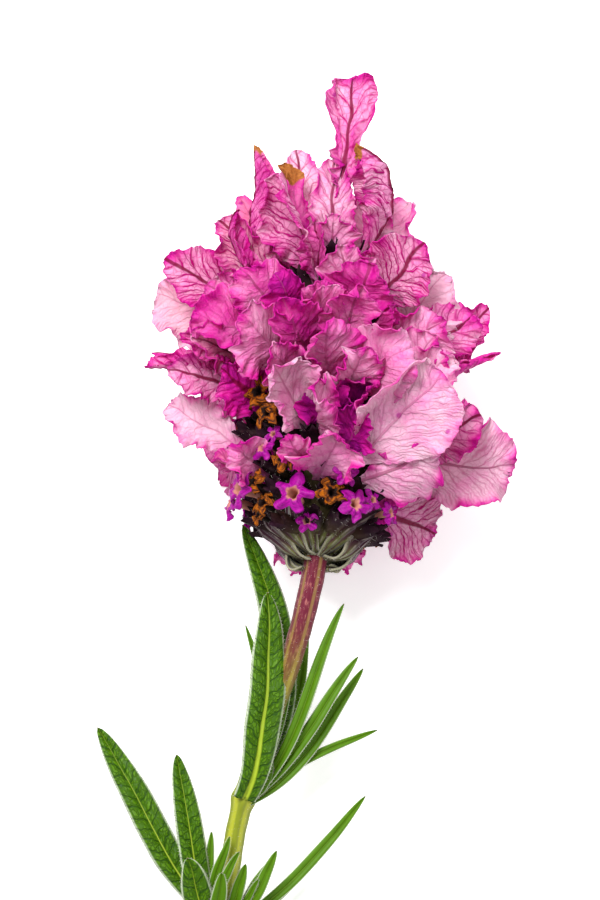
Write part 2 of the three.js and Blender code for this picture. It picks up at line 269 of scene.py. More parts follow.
def stem_middle(share):
    """The middle of the stem at a share of the way from the head to the cut end, in mm."""
    last = len(stem_route) - 2
    step = next((i for i in range(last + 1) if share <= stem_route[i + 1][0]), last)
    rows = [stem_route[min(max(step + i, 0), last + 1)] for i in (-1, 0, 1, 2)]
    before, first, second, after = rows
    t = (share - first[0]) / (second[0] - first[0])
    values = []
    for axis in (1, 2):
        a, b, c, d = before[axis], first[axis], second[axis], after[axis]
        bend = (2 * a - 5 * b + 4 * c - d) * t + (3 * b - a - 3 * c + d) * t * t
        values.append(0.5 * (2 * b + (c - a + bend) * t))
    height = cut_height + (foot_of_head.z - cut_height) * values[1]
    return Vector((foot_of_head.x + values[0], foot_of_head.y - share * stem_reach, height))


def stem_frame(share):
    """The stem's middle and its sideways and upward directions there."""
    middle = stem_middle(share)
    back = (stem_middle(min(1, share + 0.01)) - stem_middle(max(0, share - 0.01))).normalized()
    sideways = back.cross(Vector((0, 0, 1))).normalized()
    return middle, sideways, sideways.cross(back)


def stem_swelling(share):
    """How thick the stem is: a little stouter under the head and swollen at a knot."""
    near = max(math.exp(-(((share - knot) / knot_reach) ** 2)) for knot in (upper_knot, lower_knot))
    return 0.94 + 0.16 * between(share, 0.3, 0.0) + knot_swell * near


def stem_surface(angle, share):
    middle, sideways, upward = stem_frame(share)
    squareness = 1 / (abs(math.cos(angle)) ** 5 + abs(math.sin(angle)) ** 5) ** 0.2
    ridge = 1 + 0.05 * math.cos(stem_ridges * angle)
    half = 0.5 * stem_width * squareness * ridge * stem_swelling(share)
    half *= 1 + 0.05 * noise.noise(Vector((share * 40, math.cos(angle), math.sin(angle))))
    turn = angle + 0.6 + 0.5 * share
    return middle + sideways * half * math.cos(turn) + upward * half * math.sin(turn)


mesh = cloth_of(24, 150)
for vertex in mesh.verts:
    vertex.co = stem_surface(math.pi * vertex.co.x, 0.5 + 0.5 * vertex.co.y)
close_tube(mesh)

skin, tree, shader = new_skin("stem_bark", 0.55, 0.1)
place = across_tissue(tree)
cut = put(tree, "SeparateXYZ", {0: place})
drawn_out = put(tree, "VectorMath", {0: place, 1: (26, 60, 1)}, operation="MULTIPLY").outputs[0]
streaks = speckle(tree, drawn_out, 1.0)
edges = maths(tree, "COSINE", times(tree, cut.outputs[0], 8 * math.pi))
young = ease(tree, plus(tree, cut.outputs[1], times(tree, streaks, 0.16)), 0.2, 0.5)
flush = mixed(tree, ease(tree, edges, 0.35, 1.0), (0.13, 0.008, 0.026, 1), (0.24, 0.13, 0.04, 1))
flush = mixed(tree, ease(tree, streaks, 0.5, 0.75), flush, (0.38, 0.12, 0.11, 1))
# Lower down: the stem's own yellow-green, its flat faces painted lighter yellow, partly paler faces and
# partly painted highlight.
green = mixed(tree, ease(tree, edges, -0.6, 0.8), (0.19, 0.24, 0.008, 1), (0.45, 0.48, 0.03, 1))
green = mixed(tree, times(tree, streaks, 0.5), green, (0.3, 0.3, 0.03, 1))
colour = mixed(tree, young, flush, green)
tree.links.new(colour, shader.inputs["Base Color"])
bumped(tree, shader, streaks, 0.08)
finish_piece("stem_stalk", mesh, skin, "stem", "stem")

# ---- Leaves ----------------------------------------------------------------------------------------------
# Narrow leaves in two clusters, each a thick sheet with its edges rolled under, a pale sunken midrib, a
# netted surface and a felted white rim. The broad ones are the main pair, the slim ones the shoots in their
# axils.


def sheet_path(foot, leave, tip, face, curl, arch=0, bow=0):
    """The curve that a leaf or petal follows: t to its middle, forward, sideways and face directions."""
    reach = tip - foot
    length = reach.length
    ahead = reach.normalized()
    face = (face - ahead * face.dot(ahead)).normalized()
    arrive = ahead * math.cos(math.radians(curl)) - face * math.sin(math.radians(curl))
    swing = ahead.cross(face) * bow - face * arch
    pull = 0.34
    knots = [foot, foot + leave * length * pull + swing, tip - arrive * length * pull + swing, tip]

    def along(t):
        r = 1 - t
        a, b, c, d = knots
        middle = a * r ** 3 + b * 3 * r * r * t + c * 3 * r * t * t + d * t ** 3
        forward = ((b - a) * r * r + (c - b) * 2 * r * t + (d - c) * t * t).normalized()
        normal = (face - forward * face.dot(forward)).normalized()
        return middle, forward, forward.cross(normal), normal

    return along, length


def keep_above_table(point, clearance):
    """Lifts a point that would sink into the table, easing it flat."""
    soft = 0.8
    depth = (clearance + soft - point.z) / soft
    if depth > 0:
        point.z = clearance + soft * math.exp(-depth)
    return point


leaf_thickness = 0.3
# knot, tip from the knot, width, how it sets out, the way it faces, sideways bow, width of its foot
leaf_rows = {
    "upper_1": (upper_knot, (2.7, 22.6, 5), 4.1, (0.25, 0.9, 0.7), (0.2, -0.2, 1), 1.1, 2.4),
    "upper_2": (upper_knot, (-0.2, 30.6, 2), 3.6, (0.2, 1, 0), (0.2, 0, 1), 4.4, 1.2),
    "upper_3": (upper_knot, (7.2, 18.6, -0.5), 1.5, (0.9, 1, -0.3), (0, 0, 1), 1, 0.7),
    "upper_4": (upper_knot, (11.2, 21.6, 3), 1.5, (1, 0.9, 0.2), (-0.3, 0, 1), 0, 0.8),
    "upper_5": (upper_knot, (12.8, 15.8, 1.5), 1.5, (1, 0.8, 0), (0, 0, 1), 0, 0.8),
    "upper_6": (upper_knot, (13.4, 14.8, -1.5), 1.5, (1, 0.6, -0.2), (0, 0, 1), 0.6, 0.8),
    "upper_7": (upper_knot, (15, 8, -3), 1, (1, 0.7, -0.2), (0, 0, 1), -0.9, 0.6),
    "lower_1": (lower_knot, (-14.2, 22.2, -1), 3.5, (-0.7, 0.8, 0), (0.2, 0, 1), 0, 1),
    "lower_2": (lower_knot, (-5.0, 18.8, 3.5), 3.1, (-0.5, 1, 0.4), (0.2, 0, 1), -0.4, 1),
    "lower_3": (lower_knot, (-3.6, 7.2, 6), 3.4, (-0.6, 0.2, 0.8), (0, -0.4, 1), 0, 1),
    "lower_4": (lower_knot, (1, 9.6, 5), 1.2, (-0.3, 0.6, 0.8), (0, 0, 1), -0.8, 0.7),
    "lower_5": (lower_knot, (6.2, 8.1, 3.5), 1.4, (0.8, 0.6, 0.5), (0, 0, 1), 0.5, 0.7),
    "lower_6": (lower_knot, (16.3, 14.6, -3.6), 1.4, (1, 0.6, -0.2), (0, 0, 1), 0.7, 0.8),
    "lower_7": (lower_knot, (8, 4.5, -3.5), 1.2, (1, 0.3, -0.3), (0, 0, 1), 0, 0.7),
    "upper_8": (upper_knot, (0.2, 19.4, 1), 1, (0.4, 1, 0), (0, 0, 1), 2, 0.6),
    "upper_9": (upper_knot, (5.6, 15, 2), 1, (0.6, 1, 0.3), (0, 0, 1), 0.6, 0.6),
    "upper_10": (upper_knot, (3.2, 4, 1.6), 1.4, (0.7, 0.8, 0.4), (0.4, 0, 1), 0.4, 0.8),
    "upper_11": (upper_knot, (4.4, 9.5, 0), 1.2, (0.8, 1, 0), (0, 0, 1), 0.3, 0.8),
    "lower_8": (lower_knot, (-1.1, 10.3, 2), 1.1, (-0.5, 1, 0.2), (0, 0, 1), -0.4, 0.6),
    "lower_9": (lower_knot, (2.1, 7.9, 6), 1.1, (-0.2, 0.5, 0.9), (0, 0, 1), -1, 0.6),
    "lower_10": (lower_knot, (0.2, 5.6, 6.5), 1.8, (-0.3, 0, 1), (0, -0.5, 1), 0, 0.9),
    "lower_11": (lower_knot, (2.8, 6.6, 4), 1.4, (0.4, 0.6, 0.6), (0, 0, 1), 0, 0.7),
    "lower_12": (lower_knot, (5.6, 7, 2.5), 1.4, (0.8, 0.7, 0.3), (0, 0, 1), 0, 0.7),
    "lower_13": (lower_knot, (4.2, 5, 3.4), 0.8, (0.8, 0.6, 0.3), (0, 0, 1), 0, 0.5),
    "lower_14": (lower_knot, (9, 6.6, -3), 1.2, (1, 0.4, 0), (0, 0, 1), 0.4, 0.7),
}
leaf_nodes = 14

leaf_skin, tree, shader = new_skin("leaf_skin", 0.5)
place = across_tissue(tree)
cut = put(tree, "SeparateXYZ", {0: place})
from_midrib = maths(tree, "ABSOLUTE", cut.outputs[0])
broad, rim, far, main = written_on(tree, "broad", "rim", "far", "main")
wander = put(tree, "TexNoise", {"Vector": place, "Scale": 0.9, "Detail": 2.0}).outputs["Fac"]
climb = minus(tree, cut.outputs[1], times(tree, from_midrib, 0.75))
climb = plus(tree, climb, times(tree, wander, 1.6))
offset = times(tree, ease(tree, cut.outputs[0], -0.01, 0.01), 0.45)
phase = plus(tree, maths(tree, "DIVIDE", climb, 1.35), offset)
side_away = maths(tree, "PINGPONG", phase, 0.5)
side_veins = minus(tree, 1.0, ease(tree, side_away, 0.02, 0.15))
lattice = put(tree, "CombineXYZ", {0: from_midrib, 1: climb, 2: offset}).outputs[0]
net = {"Vector": lattice, "Scale": 2.2, "Randomness": 0.9}
fine_net = put(tree, "TexVoronoi", net, feature="DISTANCE_TO_EDGE").outputs["Distance"]
small_veins = minus(tree, 1.0, ease(tree, fine_net, 0.02, 0.2))
veins = maths(tree, "MAXIMUM", side_veins, times(tree, small_veins, 0.6))
veins = times(tree, veins, broad)
rib_edge = plus(tree, 0.08, times(tree, minus(tree, 1.0, far), 0.34))
rib_edge = times(tree, rib_edge, plus(tree, 0.4, times(tree, main, 0.6)))
midrib = minus(tree, 1.0, ease(tree, maths(tree, "DIVIDE", from_midrib, rib_edge), 0.5, 1.0))
rib_share = times(tree, midrib, minus(tree, 1.0, times(tree, far, 0.75)))
rib_share = times(tree, rib_share, plus(tree, 0.12, times(tree, broad, 0.88)))
felt = ease(tree, rim, 0.84, 0.95)
broad_mottle = speckle(tree, place, 0.5)
fine_mottle = speckle(tree, place, 4.0, 4.0)
colour = mixed(tree, broad_mottle, (0.034, 0.1, 0.0, 1), (0.08, 0.2, 0.0, 1))
colour = mixed(tree, times(tree, fine_mottle, 0.3), colour, (0.13, 0.27, 0.003, 1))
colour = mixed(tree, times(tree, veins, 0.85), colour, (0.008, 0.045, 0.0, 1))
colour = mixed(tree, rib_share, colour, (0.36, 0.46, 0.03, 1))
colour = mixed(tree, times(tree, felt, 0.85), colour, (0.55, 0.62, 0.45, 1))
colour = mixed(tree, ease(tree, far, 0.99, 1.0), colour, (0.16, 0.15, 0.01, 1))
tree.links.new(colour, shader.inputs["Base Color"])
relief = times(tree, maths(tree, "MAXIMUM", veins, midrib), -1.0)
bumped(tree, shader, relief, 0.14)


def leaf_half_width(width, foot_width, t):
    """A narrow foot, even sides that are widest past the middle, and a blunt tip."""
    foot = 0.5 * foot_width
    swell = between(t, -0.08, 0.42)
    past = max(0, (t - 0.5) / 0.5)
    return (foot + (0.5 * width - foot) * swell) * max(0, 1 - past ** 2.1) ** 0.6 + 0.02


def make_leaf(name, row, seed, nodes):
    share, reach, width, leave, faces, bow, foot_width = row
    middle = stem_middle(share)
    leave = Vector(leave).normalized()
    foot = middle + leave * 0.7 + Vector((0, -0.6, 0.5 * foot_width))
    along, length = sheet_path(foot, leave, middle + Vector(reach), Vector(faces), 8, 0, bow)
    mesh = cloth_of(18, 60)
    layers = {key: mesh.verts.layers.float.new(key) for key in ("rim", "far", "broad", "main")}
    thinning = mesh.verts.layers.deform.verify()
    tissue = mesh.loops.layers.uv["tissue"]
    for vertex in mesh.verts:
        u = vertex.co.x
        t = 0.5 + 0.5 * vertex.co.y
        half = leaf_half_width(width, foot_width, t)
        vertex[thinning][0] = 1 - 0.75 * between(t, 0.9, 1)
        point, forward, sideways, normal = along(t)
        wave = 0.14 * math.sqrt(width) * noise.noise(Vector((t * 4, seed * 7.3, 0)))
        blister = 0.1 * (width > 2) * noise.noise(Vector((abs(u) * 3, t * length / 1.1, seed)))
        keel = 0.3 * half * abs(u) - 0.4 * half * abs(u) ** 5 - 0.05 * width * math.exp(-((u * 5) ** 2))
        vertex[layers["rim"]] = abs(u)
        vertex[layers["far"]] = t
        vertex[layers["broad"]] = between(width, 1.6, 3)
        vertex[layers["main"]] = between(width, 3.6, 4)
        vertex.co = point + sideways * (half * u + 0.6 * wave) + normal * (keel + wave + blister)
        keep_above_table(vertex.co, 0.2)
        if abs(u) > 0.99:
            leaf_rims.append((vertex.co.copy(), sideways * u + normal * 0.3))
    for face in mesh.faces:
        for loop in face.loops:
            u, t = loop[tissue].uv
            loop[tissue].uv = ((u - 0.5) * 2 * leaf_half_width(width, foot_width, t), t * length)
    leaf = finish_piece(name, mesh, leaf_skin, "leaf", *nodes)
    leaf.vertex_groups.new(name="thickness")
    thicken(leaf, leaf_thickness, -1).vertex_group = "thickness"


leaf_rims = []
for order, (name, row) in enumerate(leaf_rows.items()):
    make_leaf(f"blade_{name}", row, order, [f"leaf_{name}"] if order < leaf_nodes else [])

# ---- Spike of calyces ------------------------------------------------------------------------------------
# The head's middle: a stalk hidden in packed woolly tubes, the calyces, each ribbed and toothed at its
# mouth. They are grey-green at the foot and dark plum at the mouth, and dry to brown.
spike_length = 33
spike_radius = 8.2
lean = math.radians(2.5)
SPIKE = Vector((math.sin(lean), math.cos(lean), 0))
SPIKE_RIGHT = Vector((math.cos(lean), -math.sin(lean), 0))
spike_shape = [(0, 0.34), (0.08, 0.8), (0.28, 1), (0.52, 0.95), (0.76, 0.72), (0.92, 0.42), (1, 0.1)]


def spike_half(share):
    """Half width of the spike at a share of its length."""
    for (low, a), (high, b) in zip(spike_shape, spike_shape[1:]):
        if share <= high:
            return spike_radius * (a + (b - a) * max(0, share - low) / (high - low))
    return spike_radius * spike_shape[-1][1]


def outwards(compass):
    angle = math.radians(compass)
    return SPIKE_RIGHT * math.cos(angle) + Vector((0, 0, 1)) * math.sin(angle)


def on_axis(share):
    return foot_of_head + SPIKE * share * spike_length


def on_spike(share, compass, depth=1.0):
    return on_axis(share) + outwards(compass) * depth * spike_half(share)


def join_into(whole, mesh):
    """Adds one mesh to another."""
    data = bpy.data.meshes.new("part")
    mesh.to_mesh(data)
    mesh.free()
    whole.from_mesh(data)
    bpy.data.meshes.remove(data)


def turned_body(corners, middle):
    """A closed body: a profile turned round the spike's direction through middle."""
    mesh = bmesh.new()
    mesh.loops.layers.uv.new("tissue")
    outline = [mesh.verts.new(corner) for corner in corners]
    edges = [mesh.edges.new(pair) for pair in zip(outline, outline[1:])]
    bmesh.ops.spin(
        mesh, geom=outline + edges, cent=middle, axis=SPIKE, angle=2 * math.pi, steps=32, use_merge=True,
    )
    close_tube(mesh)
    return mesh


calyx_length = 5.6
calyx_ribs = 8
calyx_teeth = 5
# height as a share of the calyx, half width (mm): up the outside, over the mouth and down the inside
calyx_profile = [
    (0, 0.25), (0.1, 0.75), (0.35, 1.1), (0.65, 1.2), (0.88, 1.12), (1, 1.28),
    (0.93, 0.95), (0.7, 0.7), (0.62, 0.1),
]
mouth_row = 5


def add_calyx(mesh, foot, direction, size, seed):
    """One tube with ribs and teeth, its mouth open, along direction."""
    turn = Vector((0, 0, 1)).rotation_difference(direction).to_matrix()
    rows = len(calyx_profile) - 1
    grid = bmesh.new()
    grid.loops.layers.uv.new("tissue")
    bmesh.ops.create_grid(grid, x_segments=16, y_segments=rows, size=1, calc_uvs=True)
    for vertex in grid.verts:
        angle = math.pi * vertex.co.x
        row = round((0.5 + 0.5 * vertex.co.y) * rows)
        height, half = calyx_profile[row]
        if row <= mouth_row:
            half *= 1 + 0.12 * math.cos(calyx_ribs * angle)
        if row in (mouth_row, mouth_row + 1):
            height += 0.12 * math.cos(calyx_teeth * angle)
        half *= 1 + 0.15 * noise.noise(Vector((math.cos(angle) + seed, math.sin(angle), height * 3)))
        spot = Vector((half * math.cos(angle), half * math.sin(angle), height * calyx_length))
        vertex.co = foot + turn @ (spot * size)
    close_tube(grid)
    join_into(mesh, grid)


chance = random.Random(4)
core_profile = [on_axis(share) + SPIKE_RIGHT * 0.7 * spike_half(share) for share, _ in spike_shape]
mesh = turned_body(core_profile, foot_of_head)
calyx_rings = 11
calyx_feet = []
for ring in range(calyx_rings):
    share = 0.05 + 0.86 * ring / (calyx_rings - 1)
    count = max(5, round(2.1 * spike_half(share)))
    for place_in_ring in range(count):
        compass = (place_in_ring + 0.5 * (ring % 2) + chance.uniform(-0.15, 0.15)) * 360 / count
        direction = outwards(compass) + SPIKE * (0.2 + 1.1 * share + chance.uniform(-0.15, 0.15))
        direction.normalize()
        foot = on_spike(share, compass, 0.62)
        size = chance.uniform(0.72, 0.95)
        calyx_feet.append((foot, direction, size))
        add_calyx(mesh, foot, direction, size, len(calyx_feet))

skin, tree, shader = new_skin("calyx_felt", 0.8)
place = put(tree, "TexCoord").outputs["Object"]
up_tube = put(tree, "SeparateXYZ", {0: across_tissue(tree)}).outputs[1]
mottle = speckle(tree, place, 900, 4.0)
patch = speckle(tree, place, 180, 2.0)
colour = mixed(tree, ease(tree, up_tube, 0.1, 0.45), (0.06, 0.045, 0.016, 1), (0.018, 0.002, 0.01, 1))
colour = mixed(tree, ease(tree, patch, 0.5, 0.75), colour, (0.03, 0.008, 0.004, 1))
colour = mixed(tree, ease(tree, mottle, 0.55, 0.85), colour, (0.1, 0.06, 0.06, 1))
tree.links.new(colour, shader.inputs["Base Color"])
bumped(tree, shader, mottle, 0.15)
finish_piece("calyces", mesh, skin, "calyx", "calyx_spike")

# ---- Bracts under the head -------------------------------------------------------------------------------
# Broad clasping bracts that cup the base of the head, tough and ribbed, green between purple-brown stripes,
# with long white wool on the ribs and rims.
# compass, tip out from the stem and above the head's base, width, degrees of fold, where it clasps the stem
bract_rows = [
    (92, 5.2, 4.8, 7.4, 52, -0.5),
    (152, 8.4, 4.0, 4.6, 44, -0.9),
    (28, 8.4, 4.0, 4.8, 44, -0.9),
    (226, 6.6, 0.8, 5.4, 34, -2.3),
    (316, 6.8, 0.8, 5.4, 34, -2.3),
    (124, 6.4, 4.6, 3.8, 50, -0.7),
    (58, 6.6, 4.8, 4, 50, -0.7),
    (270, 7.4, 1.6, 6, 30, -2.2),
    (176, 7.4, 2.8, 4.4, 40, -1.2),
    (4, 7.4, 2.6, 4.4, 40, -1.2),
    (248, 6.8, 0.4, 5, 30, -2.0),
    (294, 6.8, 0.4, 5, 30, -2.0),
]
bract_ribs = 5
bract_nodes = 5
bract_thickness = 0.22

skin, tree, shader = new_skin("bract_felt", 0.75, 0.2)
place = across_tissue(tree)
cut = put(tree, "SeparateXYZ", {0: place})
fan = times(tree, cut.outputs[0], bract_ribs * 2 * math.pi)
stripe = maths(tree, "COSINE", fan)
mottle = speckle(tree, place, 9, 4.0)
shade = plus(tree, times(tree, stripe, 0.7), times(tree, mottle, 2.4))
green = mixed(tree, mottle, (0.07, 0.09, 0.01, 1), (0.22, 0.23, 0.06, 1))
colour = mixed(tree, ease(tree, shade, 0.2, 1.6), (0.07, 0.02, 0.026, 1), green)
ripe = ease(tree, plus(tree, cut.outputs[1], times(tree, mottle, 0.3)), 0.4, 0.75)
colour = mixed(tree, ripe, colour, (0.045, 0.01, 0.022, 1))
colour = mixed(tree, times(tree, ease(tree, shade, 1.5, 2.2), 0.45), colour, (0.42, 0.36, 0.3, 1))
from_rib = maths(tree, "ABSOLUTE", minus(tree, cut.outputs[0], 0.5))
colour = mixed(tree, times(tree, ease(tree, from_rib, 0.44, 0.5), 0.45), colour, (0.42, 0.38, 0.3, 1))
tree.links.new(colour, shader.inputs["Base Color"])
bumped(tree, shader, plus(tree, stripe, mottle), 0.12)

# The receptacle: the swollen end of the stalk, seen between the feet of the bracts. Half width and height.
receptacle_profile = [(0, -2.3), (1.2, -2.1), (2.4, -1.4), (3.1, -0.2), (3.3, 1.2), (0, 1.2)]
middle = foot_of_head - TOWARD * 2
corners = [middle + SPIKE_RIGHT * half + SPIKE * height for half, height in receptacle_profile]
mesh = turned_body(corners, middle)
tissue = mesh.loops.layers.uv["tissue"]
for face in mesh.faces:
    for loop in face.loops:
        spot = loop.vert.co - middle
        loop[tissue].uv = (0.4 * math.sin(0.8 * spot.x) + 0.5, 0.1 * spot.dot(SPIKE) + 0.2)
finish_piece("receptacle", mesh, skin, "base_bract")

bract_spots = []
for order, (compass, out, rise, width, fold, clasp) in enumerate(bract_rows):
    away = outwards(compass)
    foot = foot_of_head + SPIKE * clasp + away * 0.8
    tip = foot_of_head + away * out + SPIKE * rise
    climbs = 0.5 if away.z > 0.2 else -0.2
    along, length = sheet_path(foot, (away + SPIKE * climbs).normalized(), tip, SPIKE, -14)
    mesh = cloth_of(26, 26)
    for vertex in mesh.verts:
        u = vertex.co.x
        t = 0.5 + 0.5 * vertex.co.y
        half = max(1.3 * (1 - t), 0.5 * width * math.sin(math.pi * min(1, 0.16 + 0.84 * t)) ** 0.8)
        point, forward, sideways, normal = along(t)
        lean_in = math.radians(fold) * between(t, 0.1, 0.5)
        x = u * half * math.cos(lean_in * abs(u))
        lift = abs(u) * half * math.sin(lean_in * abs(u)) + 0.05 * math.cos(bract_ribs * 2 * math.pi * u)
        lift += 0.3 * abs(u) ** 3 * math.sin(11 * t + 3 * order)
        spot = point + sideways * x + normal * lift
        spot += noise.noise_vector(spot / 2.4 + Vector((order, 0, 0))) * 0.8 * t
        vertex.co = keep_above_table(spot, 0.3)
        bract_spots.append((vertex.co.copy(), -normal + sideways * 0.6 * u, t, abs(u)))
    nodes = [f"base_bract_{order + 1}"] if order < bract_nodes else []
    bract = finish_piece(f"clasping_bract_{order + 1}", mesh, skin, "base_bract", *nodes)
    thicken(bract, bract_thickness)

# ---- Small flowers ---------------------------------------------------------------------------------------
# The true flowers: short violet tubes that open in five rounded lobes round a dark throat, standing out of
# the calyces. Faded ones dry orange-brown and crumple where they stood; their tubes are painted near-black
# as painted shade in the hollow throat.
flower_lobes = 5
flower_nodes = 4
flower_thickness = 0.12


def make_flower(name, foot, direction, size, crumple, skin, seed, nodes):
    turn = Vector((0, 0, 1)).rotation_difference(direction).to_matrix()
    mesh = cloth_of(50, 14)
    for vertex in mesh.verts:
        angle = math.pi * vertex.co.x
        t = 0.5 + 0.5 * vertex.co.y
        lobe = 0.5 + 0.5 * math.cos(flower_lobes * angle + seed)
        opened = between(t, 0.5, 1.0)
        half = 0.35 + 0.25 * t + opened * (0.55 + 1.05 * lobe ** 0.8)
        height = 3.0 * min(1, t / 0.62) - 0.4 * opened * opened
        height += 0.3 * opened * math.cos(2 * flower_lobes * angle)
        spot = Vector((half * math.cos(angle), half * math.sin(angle), height))
        spot += noise.noise_vector(spot * 0.9 + Vector((seed, 0, 0))) * (0.18 + crumple * opened)
        vertex.co = foot + turn @ (spot * size)
    bmesh.ops.remove_doubles(mesh, verts=mesh.verts, dist=1e-4)
    thicken(finish_piece(name, mesh, skin, "flower", *nodes), flower_thickness)


fresh_skin, tree, shader = new_skin("fresh_violet", 0.45)
place = across_tissue(tree)
open_share = put(tree, "SeparateXYZ", {0: place}).outputs[1]
mottle = speckle(tree, place, 12)
colour = mixed(tree, ease(tree, mottle, 0.3, 0.7), (0.22, 0.001, 0.18, 1), (0.52, 0.006, 0.38, 1))
colour = mixed(tree, ease(tree, open_share, 0.6, 0.68), (0.62, 0.26, 0.2, 1), colour)
tree.links.new(colour, shader.inputs["Base Color"])
bumped(tree, shader, mottle, 0.05)
let_light_through(tree, shader, colour, 0.25)

faded_skin, tree, shader = new_skin("faded_brown_painted_throat_shade", 0.6)
place = across_tissue(tree)
mottle = speckle(tree, place, 10, 4.0)
open_share = put(tree, "SeparateXYZ", {0: place}).outputs[1]
colour = mixed(tree, ease(tree, mottle, 0.4, 0.65), (0.05, 0.008, 0.003, 1), (0.55, 0.14, 0.002, 1))
# Painted shade: the tube below the lobes is painted near-black for the shadow inside the hollow throat.
colour = mixed(tree, ease(tree, open_share, 0.62, 0.72), (0.012, 0.003, 0.002, 1), colour)
tree.links.new(colour, shader.inputs["Base Color"])
bumped(tree, shader, mottle, 0.2)
let_light_through(tree, shader, colour, 0.2)

# share of the spike, compass, size
fresh_rows = [
    (0.12, 106, 1.1), (0.1, 66, 0.9), (0.15, 148, 1.0), (0.12, 168, 0.95), (0.05, 100, 0.62), (0.2, 74, 0.7),
    (0.28, 127, 0.7), (0.24, 290, 0.8), (0.33, 122, 0.5), (0.13, 50, 0.6), (0.2, 20, 0.9), (0.3, 250, 1.0),
    (0.2, 300, 1.0), (0.4, 210, 1.0), (0.12, 220, 0.9), (0.24, 108, 0.55), (0.1, 30, 0.7),
]
faded_rows = [
    (0.13, 82, 0.9), (0.235, 113, 0.85), (0.46, 131, 1.05), (0.39, 124, 0.95), (0.17, 138, 0.8),
    (0.1, 133, 0.75), (0.07, 146, 0.6), (0.06, 316, 0.85), (0.3, 310, 0.8), (0.16, 252, 1.0),
    (0.32, 290, 0.9), (0.12, 330, 0.9), (0.52, 230, 0.9), (0.44, 122, 0.85),
]
for order, (share, compass, size) in enumerate(fresh_rows):
    foot = on_spike(share, compass, 1.06)
    direction = (outwards(compass) + SPIKE * 0.15).normalized()
    nodes = [f"flower_{order + 1}"] if order < flower_nodes else []
    make_flower(f"violet_{order + 1}", foot, direction, size, 0.25, fresh_skin, order, nodes)
for order, (share, compass, size) in enumerate(faded_rows):
    foot = on_spike(share, compass, 1.08)
    direction = (outwards(compass) + SPIKE * 0.25).normalized()
    make_flower(f"faded_{order + 1}", foot, direction, 0.85 * size, 0.6, faded_skin, order + 40, [])

# ---- Petals ----------------------------------------------------------------------------------------------
# Thin frilled petals rooted by narrow claws all over the spike: pale pink to hot magenta tissue with
# crimson veins that fork outwards from the midrib and net together, and darker, torn and crimped rims.
petal_thickness = 0.12
vein_spacing = 1.7
vein_slant = 1.05
vein_bend = 0.06

petal_skin, tree, shader = new_skin("petal_tissue", 0.6)
place = across_tissue(tree)
seed, tone, veined, dried, warm = written_on(tree, "seed", "tone", "veined", "dried", "warm")
own = put(tree, "CombineXYZ", {2: seed}).outputs[0]
shifted = put(tree, "VectorMath", {0: place, 1: own}, operation="ADD").outputs[0]
bent = place
for scale, depth in ((0.35, (0.3, 1.8, 0)), (1.4, (0.25, 0.6, 0))):
    wander = put(tree, "TexNoise", {"Vector": shifted, "Scale": scale, "Detail": 1.0}).outputs["Color"]
    wander = put(tree, "VectorMath", {0: wander, 1: (0.5, 0.5, 0.5)}, operation="SUBTRACT").outputs[0]
    wander = put(tree, "VectorMath", {0: wander, 1: depth}, operation="MULTIPLY").outputs[0]
    bent = put(tree, "VectorMath", {0: bent, 1: wander}, operation="ADD").outputs[0]
cut = put(tree, "SeparateXYZ", {0: bent})
side = maths(tree, "ABSOLUTE", cut.outputs[0])
climb = minus(tree, cut.outputs[1], times(tree, side, vein_slant))
climb = plus(tree, climb, times(tree, times(tree, side, side), vein_bend))
other_half = times(tree, ease(tree, cut.outputs[0], -0.01, 0.01), 0.37)
phase = plus(tree, maths(tree, "DIVIDE", climb, vein_spacing), other_half)
first_fork = times(tree, ease(tree, side, 0.4, 1.8), 0.5)
second_fork = times(tree, ease(tree, side, 1.7, 3.0), 0.25)
branches = [
    (phase, 0.15, 1.0),
    (minus(tree, phase, first_fork), 0.11, 0.9),
    (minus(tree, phase, second_fork), 0.08, 0.75),
    (minus(tree, minus(tree, phase, first_fork), second_fork), 0.08, 0.75),
]
strong_veins = 0.0
for course, breadth, strength in branches:
    away = maths(tree, "PINGPONG", course, 0.5)
    line = minus(tree, 1.0, ease(tree, away, 0.0, breadth))
    strong_veins = maths(tree, "MAXIMUM", strong_veins, times(tree, line, strength))
net = {"Vector": shifted, "Scale": 1.5, "Randomness": 1.0}
net_edge = put(tree, "TexVoronoi", net, feature="DISTANCE_TO_EDGE").outputs["Distance"]
net_veins = minus(tree, 1.0, ease(tree, net_edge, 0.0, 0.1))
cloud = speckle(tree, shifted, 0.5, 4.0)
grain = speckle(tree, shifted, 5.0, 3.0)
uneven = ease(tree, speckle(tree, shifted, 1.1, 2.0), 0.25, 0.6)
uneven = plus(tree, 0.45, times(tree, uneven, 0.55))
far = written_on(tree, "far")[0]
true_side = maths(tree, "ABSOLUTE", put(tree, "SeparateXYZ", {0: place}).outputs[0])
rib_edge = plus(tree, 0.14, times(tree, veined, 0.36))
rib_edge = times(tree, rib_edge, minus(tree, 1.15, times(tree, far, 0.75)))
midrib = minus(tree, 1.0, ease(tree, maths(tree, "DIVIDE", true_side, rib_edge), 0.4, 1.0))
all_veins = maths(tree, "MAXIMUM", times(tree, strong_veins, uneven), times(tree, net_veins, 0.4))
blotch = times(tree, minus(tree, cloud, 0.5), 0.7)
grit = times(tree, minus(tree, grain, 0.5), 0.24)
shade = plus(tree, tone, plus(tree, blotch, grit))
ramp = put(tree, "ValToRGB", {0: shade})
stops = [
    (0.0, (0.9, 0.58, 0.72, 1)),
    (0.22, (0.88, 0.35, 0.62, 1)),
    (0.45, (0.82, 0.12, 0.48, 1)),
    (0.7, (0.7, 0.01, 0.36, 1)),
    (1.0, (0.36, 0.002, 0.26, 1)),
]
while len(ramp.color_ramp.elements) < len(stops):
    ramp.color_ramp.elements.new(0.5)
for element, (position, colour) in zip(ramp.color_ramp.elements, stops):
    element.position = position
    element.color = colour
tissue_colour = mixed(tree, warm, ramp.outputs[0], (0.86, 0.46, 0.44, 1))
spots = put(tree, "TexVoronoi", {"Vector": shifted, "Scale": 0.42, "Randomness": 1.0})
